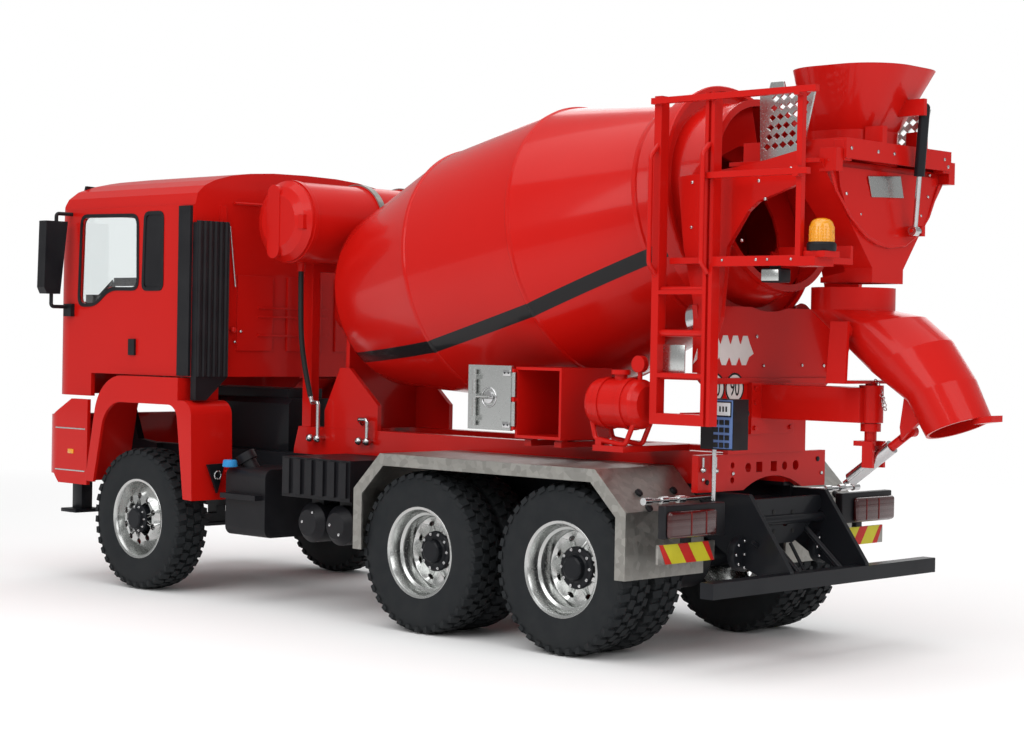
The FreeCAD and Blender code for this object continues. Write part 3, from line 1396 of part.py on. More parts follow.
def make_chute_beam():
    """Box beam with a bolted flange, ending in the tube the chute swings in."""
    y0 = panel_y + plate + 1
    beam = box(-beam_box_half_width, beam_box_half_width, y0, chute_post_y, beam_box_low_z, beam_box_high_z)
    hollow = box(-beam_box_half_width + 2, beam_box_half_width - 2, y0 + 4, chute_post_y - 8, beam_box_low_z - 1,
                 beam_box_high_z - 2)
    beam = beam.cut(hollow)
    flange = box(-beam_flange_half_width, beam_flange_half_width, panel_y + plate, y0 + 2, beam_flange_low_z,
                 beam_box_high_z + 1)
    post = rod(Vector(0, chute_post_y, beam_box_low_z), Vector(0, chute_post_y, chute_post_top_z),
               chute_post_radius)
    bore = rod(Vector(0, chute_post_y, beam_box_low_z - 1), Vector(0, chute_post_y, chute_arm_base_z + 1),
               spindle_pin_radius + running_gap)
    pieces = [beam, flange, post]
    for x in (-beam_flange_half_width + 3, beam_flange_half_width - 3):
        for z in (beam_flange_low_z + 3, beam_box_high_z - 9, beam_box_high_z - 2):
            pieces.append(rod(Vector(x, y0 + 1.5, z), Vector(x, y0 + 3, z), 1.2))
    keep("chute_beam", joined(pieces).cut(bore).cut(nodes["rear_panel"]))


def make_tail():
    """Tail plate, underrun bar on its two brackets, lamps and marker boards."""
    bar_half = guard_bar_size / 2
    bar = box(-guard_bar_half_width, guard_bar_half_width, guard_bar_y - bar_half, guard_bar_y + bar_half,
              guard_bar_z - bar_half, guard_bar_z + bar_half)
    inner = rail_outer_x
    bracket = prism_x([(rail_rear_y - 16, rail_bottom_z + 2), (rail_rear_y - 16, rail_top_z - 3),
                       (tail_y + 5, rail_top_z - 3), (guard_bar_y + 3, guard_bar_z + 5),
                       (guard_bar_y + 3, guard_bar_z), (guard_bar_y - 6, guard_bar_z - 3),
                       (tail_y - 4, guard_bar_z + 8)], inner, inner + plate)
    half = tail_plate_half_width
    low = tail_plate_low_z
    high = tail_plate_high_z
    middle = (low + high) / 2
    plate_solid = prism_y([(-half, middle + 6), (-half + 2, high), (half - 2, high), (half, middle + 6),
                           (half - 14, low + 6), (7, low), (-7, low), (14 - half, low + 6)], tail_y, tail_y + plate)
    hole = rod(Vector(0, tail_y - 1, middle), Vector(0, tail_y + plate + 1, middle), 3)
    pieces = both_sides(bracket) + [bar, plate_solid.cut(hole)]
    for x in (-18, 18):
        pieces.append(rod(Vector(x, tail_y + plate - 1, middle - 4), Vector(x, guard_bar_y, guard_bar_z), 1.5))
    for y in (tail_y + 3, rail_rear_y - 8):
        pieces.append(rod(Vector(-inner - 1, y, rail_bottom_z + 5), Vector(inner + 1, y, rail_bottom_z + 5), 2.5))
    keep("underrun_guard", joined(pieces).cut(nodes["chassis_frame"]))
    face_y = tail_lamp_face_y
    housing = box(tail_lamp_inner_x, tail_lamp_outer_x, face_y - tail_lamp_depth, face_y, tail_lamp_low_z,
                  tail_lamp_high_z)
    housing = housing.makeFillet(3, [edge for edge in housing.Edges if edge.BoundBox.YLength > 1
                                     and edge.BoundBox.XMin > tail_lamp_outer_x - 1])
    board_y = face_y - tail_lamp_depth
    board = box(lens_inner_x - 7.5, tail_lamp_outer_x - 1, board_y - 1.5, board_y + 0.1, marker_low_z, marker_high_z)
    stalk = box(lens_inner_x + 8, lens_inner_x + 20, board_y - 1, board_y + 1, marker_high_z - 4, tail_lamp_low_z + 1)
    link_z = tail_lamp_low_z + 8
    link = rod(Vector(inner + plate, face_y - 3, link_z), Vector(tail_lamp_inner_x + 1, face_y - 3, link_z), 1.5)
    lens = box(lens_inner_x, tail_lamp_outer_x - 0.5, face_y - 0.5, face_y + 2, tail_lamp_low_z + 0.5,
               tail_lamp_high_z - 2.7)
    lens = lens.makeFillet(3, [edge for edge in lens.Edges if edge.BoundBox.YLength > 1
                               and edge.BoundBox.XMin > tail_lamp_outer_x - 1])
    carrier = joined([housing, board, stalk, link]).cut(lens)
    keep("tail_lamps", carrier, lens, mirrored(carrier), mirrored(lens))


# -------------------------------------------------------- collector and hopper
def rectangle(half_x, front_y, rear_y, z):
    corners = [Vector(-half_x, front_y, z), Vector(half_x, front_y, z), Vector(half_x, rear_y, z),
               Vector(-half_x, rear_y, z)]
    return Part.makePolygon(corners + [corners[0]])


def funnel(inset):
    """Collector body, moved in by inset on its walls and open beyond its ends."""
    ahead = 2 * inset
    top = rectangle(collector_half_width - inset, collector_front_y + inset, collector_rear_y - inset, collector_top_z)
    low = rectangle(outlet_half_width - inset, outlet_front_y + inset, outlet_rear_y - inset, collector_neck_z)
    body = Part.makeLoft([top, low], True, True)
    neck = box(-outlet_half_width + inset, outlet_half_width - inset, outlet_front_y + inset, outlet_rear_y - inset,
               collector_outlet_z - ahead, collector_neck_z)
    return body.fuse(neck)


rear_lean = (outlet_rear_y - collector_rear_y) / (collector_top_z - collector_neck_z)


def on_rear_face(x, z, off=0.0):
    """A point on the collector's leaning rear face, raised by off."""
    return Vector(x, collector_rear_y + (collector_top_z - z) * rear_lean + off, z)


def make_collector():
    """Funnel with a framed rim, a mouth opening, the D plate and hinge lugs."""
    shell = funnel(0).cut(funnel(funnel_wall))
    frame = box(-collector_half_width, collector_half_width, collector_front_y, collector_rear_y,
                collector_top_z - 2, collector_top_z)
    window = box(rim_frame - collector_half_width, collector_half_width - rim_frame, collector_front_y + 5,
                 collector_rear_y - 5, collector_top_z - 3, collector_top_z + 1)
    frame = frame.cut(window)
    shell = joined([shell, frame])
    mouth = Part.makeCylinder(drum_mouth_radius + 3, 52, on_drum(drum_mouth - 6), drum_axis)
    front_part = box(-collector_half_width - 1, collector_half_width + 1, collector_front_y - 20, outlet_rear_y - 16,
                     collector_outlet_z - 5, collector_top_z - 2)
    shell = shell.cut(mouth.common(front_part))
    points = []
    high = collector_top_z - 3
    for index in range(13):
        turn = math.pi * index / 12
        points.append(on_rear_face(-d_plate_half * math.cos(turn), high - d_plate_drop * math.sin(turn)))
    d_plate = prism(points, Vector(0, d_plate_thickness, 0))
    pieces = [shell, d_plate]
    lug = box(hopper_ear_x + hopper_ear_width + seat_gap, hopper_ear_x + hopper_ear_width + seat_gap + 5.5,
              collector_rear_y - 3, hopper_hinge_y + 3, collector_top_z - 6, hopper_hinge_z + 3)
    pin = rod(Vector(hopper_ear_x - 1, hopper_hinge_y, hopper_hinge_z),
              Vector(hopper_ear_x + hopper_ear_width + 3, hopper_hinge_y, hopper_hinge_z), hopper_pin_radius)
    pieces += both_sides(joined([lug, pin]))
    foot_x, foot_y, foot_z = strut_foot
    pieces.append(box(foot_x - 5.5, foot_x - 2.8, foot_y - 8, foot_y + 2.5, foot_z - 2.5, foot_z + 2.5))
    pieces.append(rod(Vector(foot_x - 4, foot_y, foot_z), Vector(foot_x + 3, foot_y, foot_z), strut_pin_radius))
    keep("collector", joined(pieces).cut(funnel(funnel_wall).common(box(-60, 60, 400, 500, 180, collector_top_z - 2))))


def make_hopper():
    """Charging funnel on a deep flange with ears for the tilt hinge and a strut lug."""
    flange_low = collector_top_z + seat_gap

    def skin(inset):
        rim_wire = rounded_rectangle(hopper_rim_half - inset, hopper_rim_half - inset, hopper_rim_corner - inset,
                                     (0, hopper_centre_y, hopper_rim_z))
        waist = rounded_rectangle(hopper_waist_half - inset, hopper_waist_half - inset, hopper_waist_corner - inset,
                                  (0, hopper_throat_y, hopper_waist_z))
        throat = rounded_rectangle(hopper_waist_half - inset, hopper_waist_half - inset, hopper_waist_corner - inset,
                                   (0, hopper_throat_y, flange_low))
        upper = Part.makeLoft([waist, rim_wire], True, True)
        lower = Part.makeLoft([throat, waist], True, True)
        return upper.fuse(lower)

    flange = box(-hopper_flange_half, hopper_flange_half, hopper_flange_front_y, hopper_flange_rear_y, flange_low,
                 hopper_flange_high_z)
    hollow = box(2 - hopper_flange_half, hopper_flange_half - 2, hopper_flange_front_y + 2, hopper_flange_rear_y - 2,
                 flange_low - 1, hopper_flange_high_z - 2)
    lip = box(-hopper_flange_half + 6, hopper_flange_half - 6, hopper_flange_front_y + 6, hopper_flange_rear_y - 22,
              flange_low, flange_low + 1)
    pieces = [flange.cut(hollow), skin(0), lip]
    for ear in both_sides(box(hopper_ear_x, hopper_ear_x + hopper_ear_width, hopper_hinge_y - 2.2, hopper_hinge_y + 3.5,
                              hopper_hinge_z - 2.7, hopper_flange_high_z - 1)):
        pieces.append(ear)
    head_x, head_y, head_z = strut_head
    pieces.append(box(head_x + strut_tube_radius + seat_gap, head_x + strut_tube_radius + 3, head_y - 12, head_y + 3,
                      head_z - 4, head_z + 4))
    for x in (-24, 12):
        pieces.append(box(x, x + 4, hopper_throat_y + hopper_waist_half - 2, hopper_throat_y + hopper_waist_half + 8,
                          hopper_flange_high_z - 1, hopper_waist_z + 1))
    solid = joined(pieces)
    for side in (1, -1):
        bore = rod(Vector(side * (hopper_ear_x - 3), hopper_hinge_y, hopper_hinge_z),
                   Vector(side * (hopper_ear_x + hopper_ear_width + 1), hopper_hinge_y, hopper_hinge_z),
                   hopper_pin_radius + running_gap)
        solid = solid.cut(bore)
    inside = skin(funnel_wall)
    low_plug = rounded_rectangle(hopper_waist_half - funnel_wall, hopper_waist_half - funnel_wall,
                                 hopper_waist_corner - funnel_wall, (0, hopper_throat_y, flange_low - 1))
    plug = Part.Face(low_plug).extrude(Vector(0, 0, 3))
    cap = rounded_rectangle(hopper_rim_half - funnel_wall, hopper_rim_half - funnel_wall,
                            hopper_rim_corner - funnel_wall, (0, hopper_centre_y, hopper_rim_z))
    lid = Part.Face(cap).extrude(Vector(0, 0, 2))
    keep("hopper", solid.cut(inside).cut(plug).cut(lid))


def make_strut():
    """Telescopic strut: a silver rod on the collector, a black tube at the hopper."""
    foot = Vector(*strut_foot)
    head = Vector(*strut_head)
    along = (head - foot).normalize()
    eye = rod(foot - X_AXIS * 2.5, foot + X_AXIS * 2.5, 2.4)
    bar = rod(foot + along * 1.5, foot + along * strut_rod_length, strut_rod_radius)
    bore = rod(foot - X_AXIS * 4, foot + X_AXIS * 4, strut_pin_radius + running_gap)
    keep("strut_rod", joined([eye, bar]).cut(bore))
    start = head - along * strut_tube_length
    tube = rod(start, head, strut_tube_radius)
    hole = rod(start - along, head - along * 4, strut_rod_radius + running_gap)
    tip = Part.makeSphere(strut_tube_radius, head)
    keep("strut_tube", joined([tube, tip]).cut(hole))


def make_screens():
    """Two pierced guard plates standing on the collector rim."""
    low = collector_top_z
    outline = [(439.6, low), (446, low), (464.1, low + 4.7), (470.8, low + 32.6), (453.5, low + 34), (452.5, low + 38),
               (445, low + 38), (444, low + 34.5), (438.7, low + 34.8)]
    guard = prism_x(outline, screen_x - screen_thickness / 2, screen_x + screen_thickness / 2)
    holes = []
    for row in range(6):
        for column in range(5):
            y = 443.5 + column * 4.6 + row * 0.9
            z = low + 7.0 + row * 4.6 + column * 0.4
            slot = prism_x([(y - screen_hole, z), (y, z + screen_hole * 0.8), (y + screen_hole, z),
                            (y, z - screen_hole * 0.8)], screen_x - 2, screen_x + 2)
            holes.append(slot)
    guard = guard.cut(Part.makeCompound(holes))
    keep("screens", guard, mirrored(guard))


# ------------------------------------------------------------ chute and its jack
def chute_section(upper, lower, half_x, inset):
    """An ellipse spanning two side-view points, its half width given."""
    top = Vector(0, *upper)
    bottom = Vector(0, *lower)
    centre = (top + bottom) * 0.5
    reach = (top - bottom) * 0.5
    reach = reach * (1 - inset / reach.Length)
    points = []
    for index in range(chute_section_points):
        turn = 2 * math.pi * index / chute_section_points
        points.append(centre + reach * math.cos(turn) + X_AXIS * ((half_x - inset) * math.sin(turn)))
    ring = Part.BSplineCurve()
    ring.interpolate(Points=points, PeriodicFlag=True)
    return Part.Wire(ring.toShape())


def chute_tube(inset):
    """Bent discharge tube as a smooth loft through its stations."""
    r = chute_radius
    collar_y = chute_collar_y
    straight_z = chute_collar_z - chute_collar_height
    sections = [((collar_y + r, chute_collar_z), (collar_y - r, chute_collar_z), r),
                ((collar_y + r, straight_z), (collar_y - r, straight_z), r)]
    for (upper, lower), half in zip(chute_bends, (r, r, (r + chute_outlet_half) / 2)):
        sections.append((upper, lower, half))
    sections.append((*chute_outlet, chute_outlet_half))
    wires = [chute_section(upper, lower, half, inset) for upper, lower, half in sections]
    return Part.makeLoft(wires, True, True)


def make_chute():
    """Discharge chute with pivot bosses, the jack lug and the lip tab."""
    outer = chute_tube(0)
    inner = chute_tube(chute_wall)
    pieces = [outer]
    for side in (1, -1):
        boss = rod(Vector(side * (chute_radius - 9), chute_pivot_y, chute_pivot_z),
                   Vector(side * (chute_arm_x - seat_gap), chute_pivot_y, chute_pivot_z), chute_pin_radius + 2)
        pieces.append(boss)
    lug = prism_x([(chute_lug_y - 3, chute_lug_z - 4), (chute_lug_y + 12, chute_lug_z + 10),
                   (chute_lug_y - 2, chute_lug_z + 16), (chute_lug_y - 4, chute_lug_z + 2)],
                  lug_x, lug_x + plate)
    pieces.append(lug)
    lip_y, lip_z = chute_tab_foot
    end_y = lip_y + chute_tab_length
    tab = prism_x([(lip_y, lip_z), (end_y, lip_z + 1.4), (end_y, lip_z - 1.6), (lip_y, lip_z - plate)],
                  -chute_tab_half_width, chute_tab_half_width)
    pieces.append(tab)
    solid = joined(pieces).cut(inner)
    for side in (1, -1):
        solid = solid.cut(rod(Vector(side * (chute_radius - 3), chute_pivot_y, chute_pivot_z),
                              Vector(side * (chute_arm_x + 1), chute_pivot_y, chute_pivot_z),
                              chute_pin_radius + running_gap))
    keep("chute", solid)


def make_chute_arm():
    """Swinging fork: spindle in the beam tube, two cheeks and the jack's yoke."""
    base_z = chute_arm_base_z
    x = chute_arm_x + chute_arm_thickness
    base = box(-x, x, chute_post_y - 9, chute_post_y + 2, base_z, base_z + 1.5)
    spindle = rod(Vector(0, chute_post_y, jack_pivot_z + 7.5), Vector(0, chute_post_y, base_z + 1.5),
                  spindle_pin_radius)
    nut = rod(Vector(0, chute_post_y, beam_box_low_z - seat_gap - 4), Vector(0, chute_post_y, beam_box_low_z - seat_gap),
              chute_post_radius - 1)
    pieces = [base, spindle, nut]
    cheek = prism_x([(chute_post_y - 9, base_z), (chute_post_y + 2, base_z), (chute_pivot_y + 5, chute_pivot_z + 4),
                     (chute_pivot_y - 5, chute_pivot_z + 4)], chute_arm_x, x)
    stub = rod(Vector(chute_radius - 2, chute_pivot_y, chute_pivot_z), Vector(x, chute_pivot_y, chute_pivot_z),
               chute_pin_radius)
    pieces += both_sides(joined([cheek, stub]))
    yoke_z = jack_pivot_z + 7.5
    pieces.append(box(-jack_tube_radius - 2.3, jack_tube_radius + 2.3, jack_pivot_y - 8, jack_pivot_y, yoke_z,
                      yoke_z + 2.5))
    ear = box(jack_tube_radius + seat_gap, jack_tube_radius + 2.3, jack_pivot_y - 3, jack_pivot_y + 3,
              jack_pivot_z - 3, yoke_z + 2.5)
    pin = rod(Vector(jack_tube_radius - 1, jack_pivot_y, jack_pivot_z),
              Vector(jack_tube_radius + 2, jack_pivot_y, jack_pivot_z), jack_pin_radius)
    pieces += both_sides(joined([ear, pin]))
    keep("chute_arm", joined(pieces))


def make_jack():
    """Screw jack: tube on trunnions, extending rod and a hand crank."""
    pivot = Vector(0, jack_pivot_y, jack_pivot_z)
    lug = Vector(0, chute_lug_y, chute_lug_z)
    along = (lug - pivot).normalize()
    back = pivot - along * jack_tube_back
    front = pivot + along * jack_tube_front
    tube = rod(back, front, jack_tube_radius)
    bore = rod(pivot - along * 8.2, front + along, jack_rod_radius + running_gap)
    crank_bore = rod(back - along, back + along * 6, crank_radius + running_gap)
    pin_bore = rod(pivot - X_AXIS * 6, pivot + X_AXIS * 6, jack_pin_radius + running_gap)
    keep("jack_tube", tube.cut(bore).cut(crank_bore).cut(pin_bore))
    bar = rod(pivot - along * 4, lug - along * 1.5, jack_rod_radius)
    eye_high_x = lug_x - seat_gap
    sweep = rod(lug + X_AXIS * eye_high_x, lug + X_AXIS * (jack_tube_radius + eye_high_x), eye_clearance)
    bar = bar.cut(sweep)
    eye = rod(lug + X_AXIS * (eye_high_x - 3.5), lug + X_AXIS * eye_high_x, 2.6)
    keep("jack_rod", joined([bar, eye]).cut(nodes["chute"]))
    side = Vector(-math.sin(crank_turn_angle), 0, 0) + along.cross(X_AXIS) * -math.cos(crank_turn_angle)
    corner_a = back - along * 2.6
    corner_b = corner_a + side * crank_throw
    end = corner_b - along * crank_grip
    keep("jack_crank", bent_rod([back + along * 5.5, corner_a, corner_b, end], crank_radius, 1.3))


make_crossplate()
make_rear_panel()
make_chute_beam()
make_tail()
make_collector()
make_hopper()
make_strut()
make_screens()
make_chute()
make_chute_arm()
make_jack()

# ------------------------------------------------------------ ladder and lamps
def make_ladder():
    """Ladder with a single front post, a double rear post and a channel foot."""
    x0 = ladder_x
    x1 = ladder_x + ladder_width
    front_end = ladder_front_y + ladder_front_width
    rear_start = ladder_rear_y - ladder_rear_width
    front = box(x0, x1, ladder_front_y, front_end, ladder_foot_z, ladder_top_z)
    rear = box(x0, x1, rear_start, ladder_rear_y, ladder_foot_z, ladder_top_z)
    slot_y = (rear_start + ladder_rear_y) / 2
    slot = box(x1 - 1.5, x1 + 1, slot_y - 0.8, slot_y + 0.8, ladder_foot_z - 1, ladder_top_z + 1)
    foot = box(x0, x1, ladder_front_y, ladder_rear_y, ladder_foot_z, ladder_foot_z + 5.5)
    tie = box(panel_foot_half_width, x0 + 1, panel_y, panel_y + plate, ladder_foot_z, ladder_foot_z + 6)
    pieces = [front, rear, foot, tie]
    middle_x = (x0 + x1) / 2
    for index in range(3):
        z = rung_low_z + rung_pitch * index
        pieces.append(rod(Vector(middle_x, ladder_front_y + 2, z), Vector(middle_x, ladder_rear_y - 3, z), rung_radius))
    for z in (ladder_foot_z + 30, platform_z - 8):
        pieces.append(box(x1 - 1.2, x1, front_end - 1, rear_start + 1, z - 7, z - 5))
    for y in (ladder_front_y + 2.2, slot_y):
        pieces.append(bent_rod([Vector(x1 - 1, y, platform_z - 6), Vector(x1 + grab_reach, y, platform_z),
                                Vector(x1 + grab_reach, y, grab_top_z), Vector(x1 - 1, y, grab_top_z + 6)],
                               1.2, 3))
    keep("ladder", joined(pieces).cut(slot).cut(nodes["rear_panel"]))


def make_platform():
    """Platform floor with its toe plate, posts and two rails."""
    top_z = platform_z + platform_sheet
    outline = [(60, 398), (ladder_x, 398), (ladder_x, ladder_rear_y), (73, ladder_rear_y), (73, platform_rear_y),
               (platform_inner_x, platform_rear_y), (platform_inner_x, 436), (60, 408)]
    floor = prism_z(outline, platform_z, top_z)
    post_x = ladder_x + ladder_width
    pieces = [floor]
    for y in (platform_rear_y - rail_bar, ):
        pieces.append(box(post_x - rail_bar, post_x, y, y + rail_bar, platform_z, rail_top_bar_z + rail_bar))
    pieces.append(box(post_x, post_x + rail_bar, ladder_front_y, rail_end_y, rail_top_bar_z, rail_top_bar_z + rail_bar))
    pieces.append(box(post_x, post_x + rail_bar, ladder_rear_y - 6, rail_end_y - 4, rail_middle_bar_z,
                      rail_middle_bar_z + rail_bar))
    pieces.append(box(post_x - 1, post_x + rail_bar, platform_rear_y - rail_bar, platform_rear_y,
                      rail_middle_bar_z - 1, rail_middle_bar_z + rail_bar + 1))
    pieces.append(box(post_x - 1, post_x + rail_bar, platform_rear_y - rail_bar, platform_rear_y,
                      rail_top_bar_z - 1, rail_top_bar_z + rail_bar))
    toe = box(71.5, 73, ladder_rear_y, platform_rear_y, platform_z - 1.8, top_z)
    pieces.append(toe)
    bracket_y = platform_rear_y - 9
    pieces.append(box(beacon_x - 7, 73, bracket_y, beacon_y + 2, platform_z - 2, top_z - 0.5))
    pieces.append(box(beacon_x - 6, beacon_x + 6, beacon_y - 6, beacon_y + 6, top_z - 1, top_z + 2))
    pieces.append(box(platform_inner_x, platform_inner_x + 2, 438, platform_rear_y, top_z - 1, top_z + 6))
    keep("platform_rail", joined(pieces).cut(nodes["rear_panel"]).cut(nodes["ladder"]).cut(nodes["collector"]))


def make_lamps():
    """Amber beacon on its black base and the work lamp under the platform."""
    base_z = platform_z + platform_sheet + 2
    base = turned([(0, 0), (0, beacon_radius + 1), (2, beacon_radius + 1), (4, beacon_radius - 0.6), (4, 0)],
                  Vector(beacon_x, beacon_y, base_z), Z_AXIS)
    lens = turned([(0, 0), (0, beacon_radius), (beacon_top_z - base_z - 6, beacon_radius - 0.4),
                   (beacon_top_z - base_z - 4, beacon_radius - 2.4), (beacon_top_z - base_z - 4, 0)],
                  Vector(beacon_x, beacon_y, base_z + 4), Z_AXIS)
    lamp_x = beacon_x + 3
    body = box(lamp_x - 5, lamp_x + 4, work_lamp_y - 5.7, work_lamp_y + 5.7, platform_z - 9.6, platform_z - 2.6)
    stem = box(lamp_x - 2, lamp_x + 2, work_lamp_y - 2, work_lamp_y + 2, platform_z - 3.6, platform_z)
    keep("lamps", base, lens, joined([body, stem]))


# ------------------------------------------------------- boxes beside the drum
def make_control_box():
    """Remote control box: display and keys face outwards, a knob faces inwards."""
    x1 = control_outer_x
    body = box(control_inner_x, x1, panel_y + plate, control_rear_y, control_low_z, control_high_z)
    screen = box(x1, x1 + 0.8, control_rear_y - 12, control_rear_y - 1, control_high_z - 8.5, control_high_z - 1)
    pieces = [body, screen]
    for row in range(4):
        for column in range(3):
            y = control_rear_y - 10.2 + 3.4 * column
            z = control_low_z + 2.4 + 3.7 * row
            pieces.append(box(x1, x1 + 0.8, y - 1.2, y + 1.2, z - 1.2, z + 1.2))
    knob_y = control_rear_y - 5
    knob_z = control_high_z - 7
    pieces.append(rod(Vector(control_inner_x + 1, knob_y, knob_z), Vector(control_inner_x - 4, knob_y, knob_z), 2.4))
    strap_z = control_low_z + 8
    pieces.append(box(panel_foot_half_width - 4, control_inner_x + 1, panel_y + plate, panel_y + plate + 2, strap_z,
                      strap_z + 8))
    keep("control_box", joined(pieces).cut(nodes["rear_panel"]).cut(nodes["chute_beam"]))


def make_toolbox():
    """Open box on two brackets, with the hinge pin of its door."""
    wall = toolbox_wall
    body = box(toolbox_inner_x, toolbox_outer_x, toolbox_front_y, toolbox_rear_y, toolbox_low_z, toolbox_high_z)
    hollow = box(toolbox_inner_x + wall, toolbox_outer_x + 1, toolbox_front_y + wall, toolbox_rear_y - wall,
                 toolbox_low_z + wall, toolbox_high_z - wall)
    pieces = [body.cut(hollow)]
    inner_x = rail_outer_x - subframe_width
    for y in (toolbox_front_y + 3, toolbox_rear_y - 8):
        pieces.append(box(inner_x, toolbox_outer_x - 4, y, y + 5, subframe_top_z, subframe_top_z + plate))
        pieces.append(box(toolbox_inner_x + 1, toolbox_inner_x + 5, y, y + 5, subframe_top_z, toolbox_low_z + 1))
        pieces.append(box(toolbox_outer_x - 9, toolbox_outer_x - 5, y, y + 5, subframe_top_z, toolbox_low_z + 1))
    low = toolbox_low_z + 4
    high = toolbox_high_z - 1
    middle = (low + high) / 2
    pieces.append(rod(Vector(door_hinge_x, door_hinge_y, low), Vector(door_hinge_x, door_hinge_y, high),
                      door_pin_radius))
    for z0, z1 in ((low, low + 1.7), (middle - 1, middle + 1), (high - 1.7, high)):
        pieces.append(box(toolbox_outer_x - 1, door_hinge_x + door_pin_radius, door_hinge_y - 0.8, door_hinge_y + 0.8,
                          z0, z1))
    keep("toolbox", joined(pieces))
    x0 = door_hinge_x - door_thickness / 2
    x1 = door_hinge_x + door_thickness / 2
    edge = door_hinge_y - 1.2
    door = box(x0, x1, edge - door_width, edge, toolbox_low_z + 3.5, toolbox_high_z + 0.5)
    leaf = [door]
    for z0, z1 in ((low + 2, middle - 1.3), (middle + 1.3, high - 2)):
        leaf.append(rod(Vector(door_hinge_x, door_hinge_y, z0), Vector(door_hinge_x, door_hinge_y, z1),
                        door_barrel_radius))
        leaf.append(box(x0 + 0.4, x1 - 0.4, edge - 1, door_hinge_y - 0.2, z0, z1))
    bar_x = x1 + 1.4
    bar_y = edge - door_width + 6
    leaf.append(rod(Vector(bar_x, bar_y, toolbox_low_z + 5.5), Vector(bar_x, bar_y, toolbox_high_z - 2), 1.1))
    for z in (toolbox_low_z + 8, middle, toolbox_high_z - 7):
        leaf.append(box(x1 - 0.5, bar_x + 1.1, bar_y - 2, bar_y + 2, z, z + 2.5))
    leaf.append(rod(Vector(bar_x, bar_y, middle + 1), Vector(bar_x + 1.2, bar_y + 11, middle + 1), 0.9))
    bore = rod(Vector(door_hinge_x, door_hinge_y, low - 1), Vector(door_hinge_x, door_hinge_y, high + 1),
               door_pin_radius + running_gap)
    keep("toolbox_door", joined(leaf).cut(bore))


def make_reservoir():
    """Side oil reservoir with bands, filler neck, gauge and its cradle."""
    r = reservoir_radius
    length = reservoir_rear_y - reservoir_front_y
    start = Vector(reservoir_x, reservoir_front_y, reservoir_z)
    body = turned([(0, 0), (0, r - 3.5), (2.2, r - 0.8), (4, r), (length - 4, r), (length - 2.2, r - 0.8),
                   (length, r - 3.5), (length, 0)], start, Y_AXIS)
    pieces = [body]
    for at_y in (8, length - 11):
        pieces.append(turned([(at_y, r - 1), (at_y, r + 0.7), (at_y + 3, r + 0.7), (at_y + 3, r - 1)], start, Y_AXIS))
    neck_y = reservoir_front_y + length * 0.48
    top = reservoir_z + r
    pieces.append(rod(Vector(reservoir_x, neck_y, top - 2), Vector(reservoir_x, neck_y, top + 4), 3.4))
    pieces.append(rod(Vector(reservoir_x, neck_y, top + 2), Vector(reservoir_x, neck_y, top + 4.4), 5))
    gauge_y = reservoir_rear_y - 5.5
    gauge_z = reservoir_z + r + 7.5
    pieces.append(rod(Vector(reservoir_x, gauge_y, reservoir_z + r - 3), Vector(reservoir_x, gauge_y, gauge_z), 1.2))
    pieces.append(rod(Vector(reservoir_x - 1.5, gauge_y, gauge_z), Vector(reservoir_x + 2, gauge_y, gauge_z), 4.2))
    shelf_x = rail_outer_x - subframe_width
    low = subframe_top_z
    front = reservoir_front_y
    rear = reservoir_rear_y
    pieces.append(box(shelf_x, reservoir_x + 8, front + 5, rear - 9, low, low + plate))
    for x in (reservoir_x - 7, reservoir_x + 6):
        cradle = [Vector(x, front + 2, low + 18), Vector(x, front + 5.3, low + 6), Vector(x, rear - 9.4, low + 3.6),
                  Vector(x, rear - 3, low + 17)]
        pieces.append(bent_rod(cradle, 1.3, 3))
        pieces.append(box(x - 1.3, x + 1.3, front + 6, front + 10, low, low + 6))
    keep("side_reservoir", joined(pieces))


def make_water_tank():
    """Cross-mounted water tank with domed ends, straps, end bracket and its stand."""
    half = water_half_length
    r = water_radius
    centre = Vector(0, water_y, water_z)
    dome = 6
    body = turned([(-half, 0), (-half, r - 9), (-half + 2.5, r - 3.5), (-half + dome, r), (half - dome, r),
                   (half - 2.5, r - 3.5), (half, r - 9), (half, 0)], centre, X_AXIS)
    pieces = [body]
    for x in water_strap_places:
        pieces.append(turned([(x - 2.5, r - 1), (x - 2.5, r + 0.8), (x + 2.5, r + 0.8), (x + 2.5, r - 1)],
                             centre, X_AXIS))
    pieces.append(turned([(half - 11, r - 1), (half - 11, r + 0.8), (half - 8, r + 0.8), (half - 8, r - 1)],
                         centre, X_AXIS))
    capsule = [(water_y - 9.5, water_z - 22, 5.4), (water_y - 9.5, water_z + 21.6, 5.4),
               (water_y + 1.5, water_z + 21.6, 5.4), (water_y + 1.5, water_z - 22, 5.4)]
    bar = rounded_prism_x(capsule, half - 2, half + 0.5)
    arm = box(half - 6, half - 1, water_y - 17.5, water_y + 21.4, water_z - 5, water_z + 3.5)
    pieces += both_sides(joined([bar, arm]))
    x0 = water_stand_x
    y0 = water_stand_y
    for leg in both_sides(box(x0, x0 + 6, y0, y0 + 8, subframe_top_z, water_z - r + 6)):
        pieces.append(leg)
    pieces.append(box(-x0 - 6, x0 + 6, y0, y0 + 8, water_z - r - 5, water_z - r + 2))
    outlet = Vector(*hose_route[0])
    pieces.append(rod(outlet, outlet + Vector(0, 0, 9), 2.4))
    keep("water_tank", joined(pieces))


